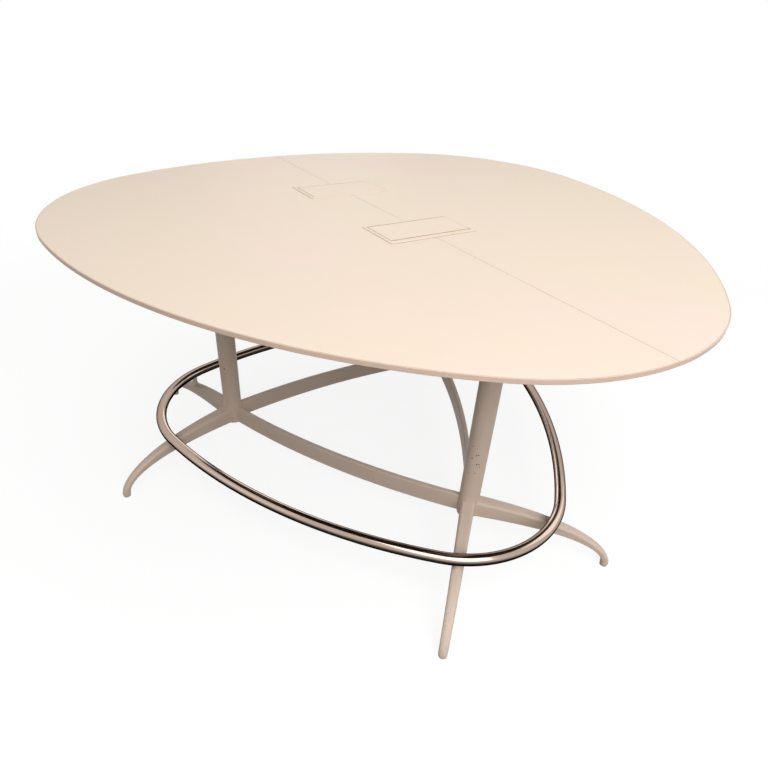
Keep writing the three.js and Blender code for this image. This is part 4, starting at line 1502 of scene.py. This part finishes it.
class CONFERENCE_TABLE_OT_hardware(bpy.types.Operator):
    """Gives the bolts, dowels, pins and screws their finishes"""

    bl_idname = "conference_table.hardware"
    bl_label = "Hardware"

    def execute(self, context):
        coat_nodes("hardware", "front_hinge_pin", "rear_hinge_pin")
        coat_nodes("hardware", *(f"seam_bolt_{place}" for place in ("front", "centre", "rear")))
        coat_nodes("beech", *(f"seam_dowel_{place}" for place in ("front", "middle", "centre", "rear")))
        coat_nodes("hardware", *(f"{hub}_ring_screw_{place}" for hub, place, _ in LEGS))
        return {"FINISHED"}


# Stage

WHITE = (1, 1, 1)
FLOOR_SIZE = 40
SHADOW_DEPTH = 0.22
FLOOR_LEVEL = 0.65
SHADOW_REACH = (2.0, 4.0)
ROOM_LIGHT = 0.24

# Place, aim, size and power of each lamp
LAMPS = {
    "overhead": ((0.3, 0.6, 3.6), (0.1, 0.3, 0.98), 2.6, 24),
    "key": ((-1.2, -3.0, 3.7), (-0.1, -0.4, 0.5), 3.6, 110),
    "left": ((-4.0, 0.6, 1.9), (-0.5, 0.2, 0.3), 2.4, 5),
    "right": ((3.1, -1.1, 2.4), (0.3, -0.5, 0.3), 2.6, 20),
    "low": ((-0.6, -2.6, 1.5), (-0.3, -0.9, 0.05), 1.4, 9),
    "back": ((1.3, 3.4, 0.85), (0.1, 0.3, 0.3), 1.6, 13),
}

CAMERA_PLACE = (-1.08416, -1.55933, 1.53751)
CAMERA_HEADING = -33.126
CAMERA_TILT = 55.6
CAMERA_ROLL = 3.281
CAMERA_LENS = 26.952
CAMERA_SENSOR = 36
CAMERA_SHIFT = (0.01263, 0.02855)


def floor_finish():
    """Pale floor, seen as white but for a soft shadow near the table."""
    finish = Finish(bpy.data.materials.new("floor"))
    finish.shade({"Base Color": colours().floor, "Roughness": 0.9, "Specular IOR Level": 0.0})
    white = finish.add("ShaderNodeEmission", {"Color": WHITE, "Strength": 1.0})
    unshaded = 1 - SHADOW_DEPTH * FLOOR_LEVEL
    glow = finish.add("ShaderNodeEmission", {"Color": WHITE, "Strength": unshaded})
    soft = finish.add("ShaderNodeBsdfDiffuse", {"Color": [SHADOW_DEPTH] * 3})
    close = finish.add("ShaderNodeAddShader", {0: glow, 1: soft})
    limits = {"From Min": SHADOW_REACH[0], "From Max": SHADOW_REACH[1]}
    away = {"Value": finish.distance(finish.place), **limits}
    far = finish.add("ShaderNodeMapRange", away, interpolation_type="SMOOTHSTEP")
    seen = finish.add("ShaderNodeMixShader", {0: far, 1: close, 2: white})
    return finish.show(seen, "Material Output")


def white_room():
    """White all round, at a plain level for what it lights."""
    room = Finish(bpy.data.worlds.new("room"), "Background")
    room.shade({"Color": colours().room, "Strength": ROOM_LIGHT})
    return room.show(room.add("ShaderNodeBackground", {"Color": WHITE}), "World Output")


def add_lamp(name, place, aim, size, power):
    bpy.ops.object.light_add(type="AREA", location=place)
    lamp = bpy.context.object
    lamp.name = name
    lamp.rotation_euler = (Vector(aim) - Vector(place)).to_track_quat("-Z", "Y").to_euler()
    lamp.data.size = size
    lamp.data.energy = power


def add_camera():
    bpy.ops.object.camera_add(location=CAMERA_PLACE)
    camera = bpy.context.object
    turn = Matrix.Identity(3)
    for angle, axis in ((CAMERA_HEADING, "Z"), (CAMERA_TILT, "X"), (CAMERA_ROLL, "Z")):
        turn = turn @ Matrix.Rotation(math.radians(angle), 3, axis)
    camera.rotation_euler = turn.to_euler()
    camera.data.sensor_width = CAMERA_SENSOR
    camera.data.lens = CAMERA_LENS
    camera.data.shift_x, camera.data.shift_y = CAMERA_SHIFT
    return camera


class CONFERENCE_TABLE_OT_stage(bpy.types.Operator):
    """Sets a pale floor, soft light and the camera"""

    bl_idname = "conference_table.stage"
    bl_label = "Stage"

    def execute(self, context):
        scene = context.scene
        scene.view_settings.view_transform = "Standard"
        choose()
        bpy.ops.mesh.primitive_plane_add(size=FLOOR_SIZE)
        floor = bpy.context.object
        floor.name = "floor"
        floor.data.materials.append(floor_finish())
        scene.world = white_room()
        for name, settings in LAMPS.items():
            add_lamp(name, *settings)
        scene.camera = add_camera()
        return {"FINISHED"}


# Add-on

OPERATORS = (
    CONFERENCE_TABLE_OT_top_panels,
    CONFERENCE_TABLE_OT_edge_bands,
    CONFERENCE_TABLE_OT_hatch_bezels,
    CONFERENCE_TABLE_OT_hatch_lids,
    CONFERENCE_TABLE_OT_power_boxes,
    CONFERENCE_TABLE_OT_outlet_strips,
    CONFERENCE_TABLE_OT_cable_glands,
    CONFERENCE_TABLE_OT_columns,
    CONFERENCE_TABLE_OT_legs,
    CONFERENCE_TABLE_OT_foot_ring,
    CONFERENCE_TABLE_OT_stretchers,
    CONFERENCE_TABLE_OT_glides,
    CONFERENCE_TABLE_OT_hardware,
    CONFERENCE_TABLE_OT_stage,
)


class CONFERENCE_TABLE_PT_panel(bpy.types.Panel):
    """Lists the pieces of the table in the order they are made"""

    bl_idname = "CONFERENCE_TABLE_PT_panel"
    bl_label = "Conference Table"
    bl_space_type = "VIEW_3D"
    bl_region_type = "UI"
    bl_category = "Table"

    def draw(self, context):
        for operator in OPERATORS:
            self.layout.operator(operator.bl_idname)
        for group in (context.scene.table_sizes, context.scene.table_colours):
            column = self.layout.column(align=True)
            for name in group.bl_rna.properties.keys():
                if name not in ("rna_type", "name"):
                    column.prop(group, name)


CLASSES = (TableSizes, TableColours, *OPERATORS, CONFERENCE_TABLE_PT_panel)


def register():
    for kind in CLASSES:
        bpy.utils.register_class(kind)
    bpy.types.Scene.table_sizes = PointerProperty(type=TableSizes)
    bpy.types.Scene.table_colours = PointerProperty(type=TableColours)


def unregister():
    del bpy.types.Scene.table_colours
    del bpy.types.Scene.table_sizes
    for kind in reversed(CLASSES):
        bpy.utils.unregister_class(kind)


def main():
    register()
    for operator in OPERATORS:
        _, name = operator.bl_idname.split(".")
        getattr(bpy.ops.conference_table, name)()


if __name__ == "__main__":
    main()
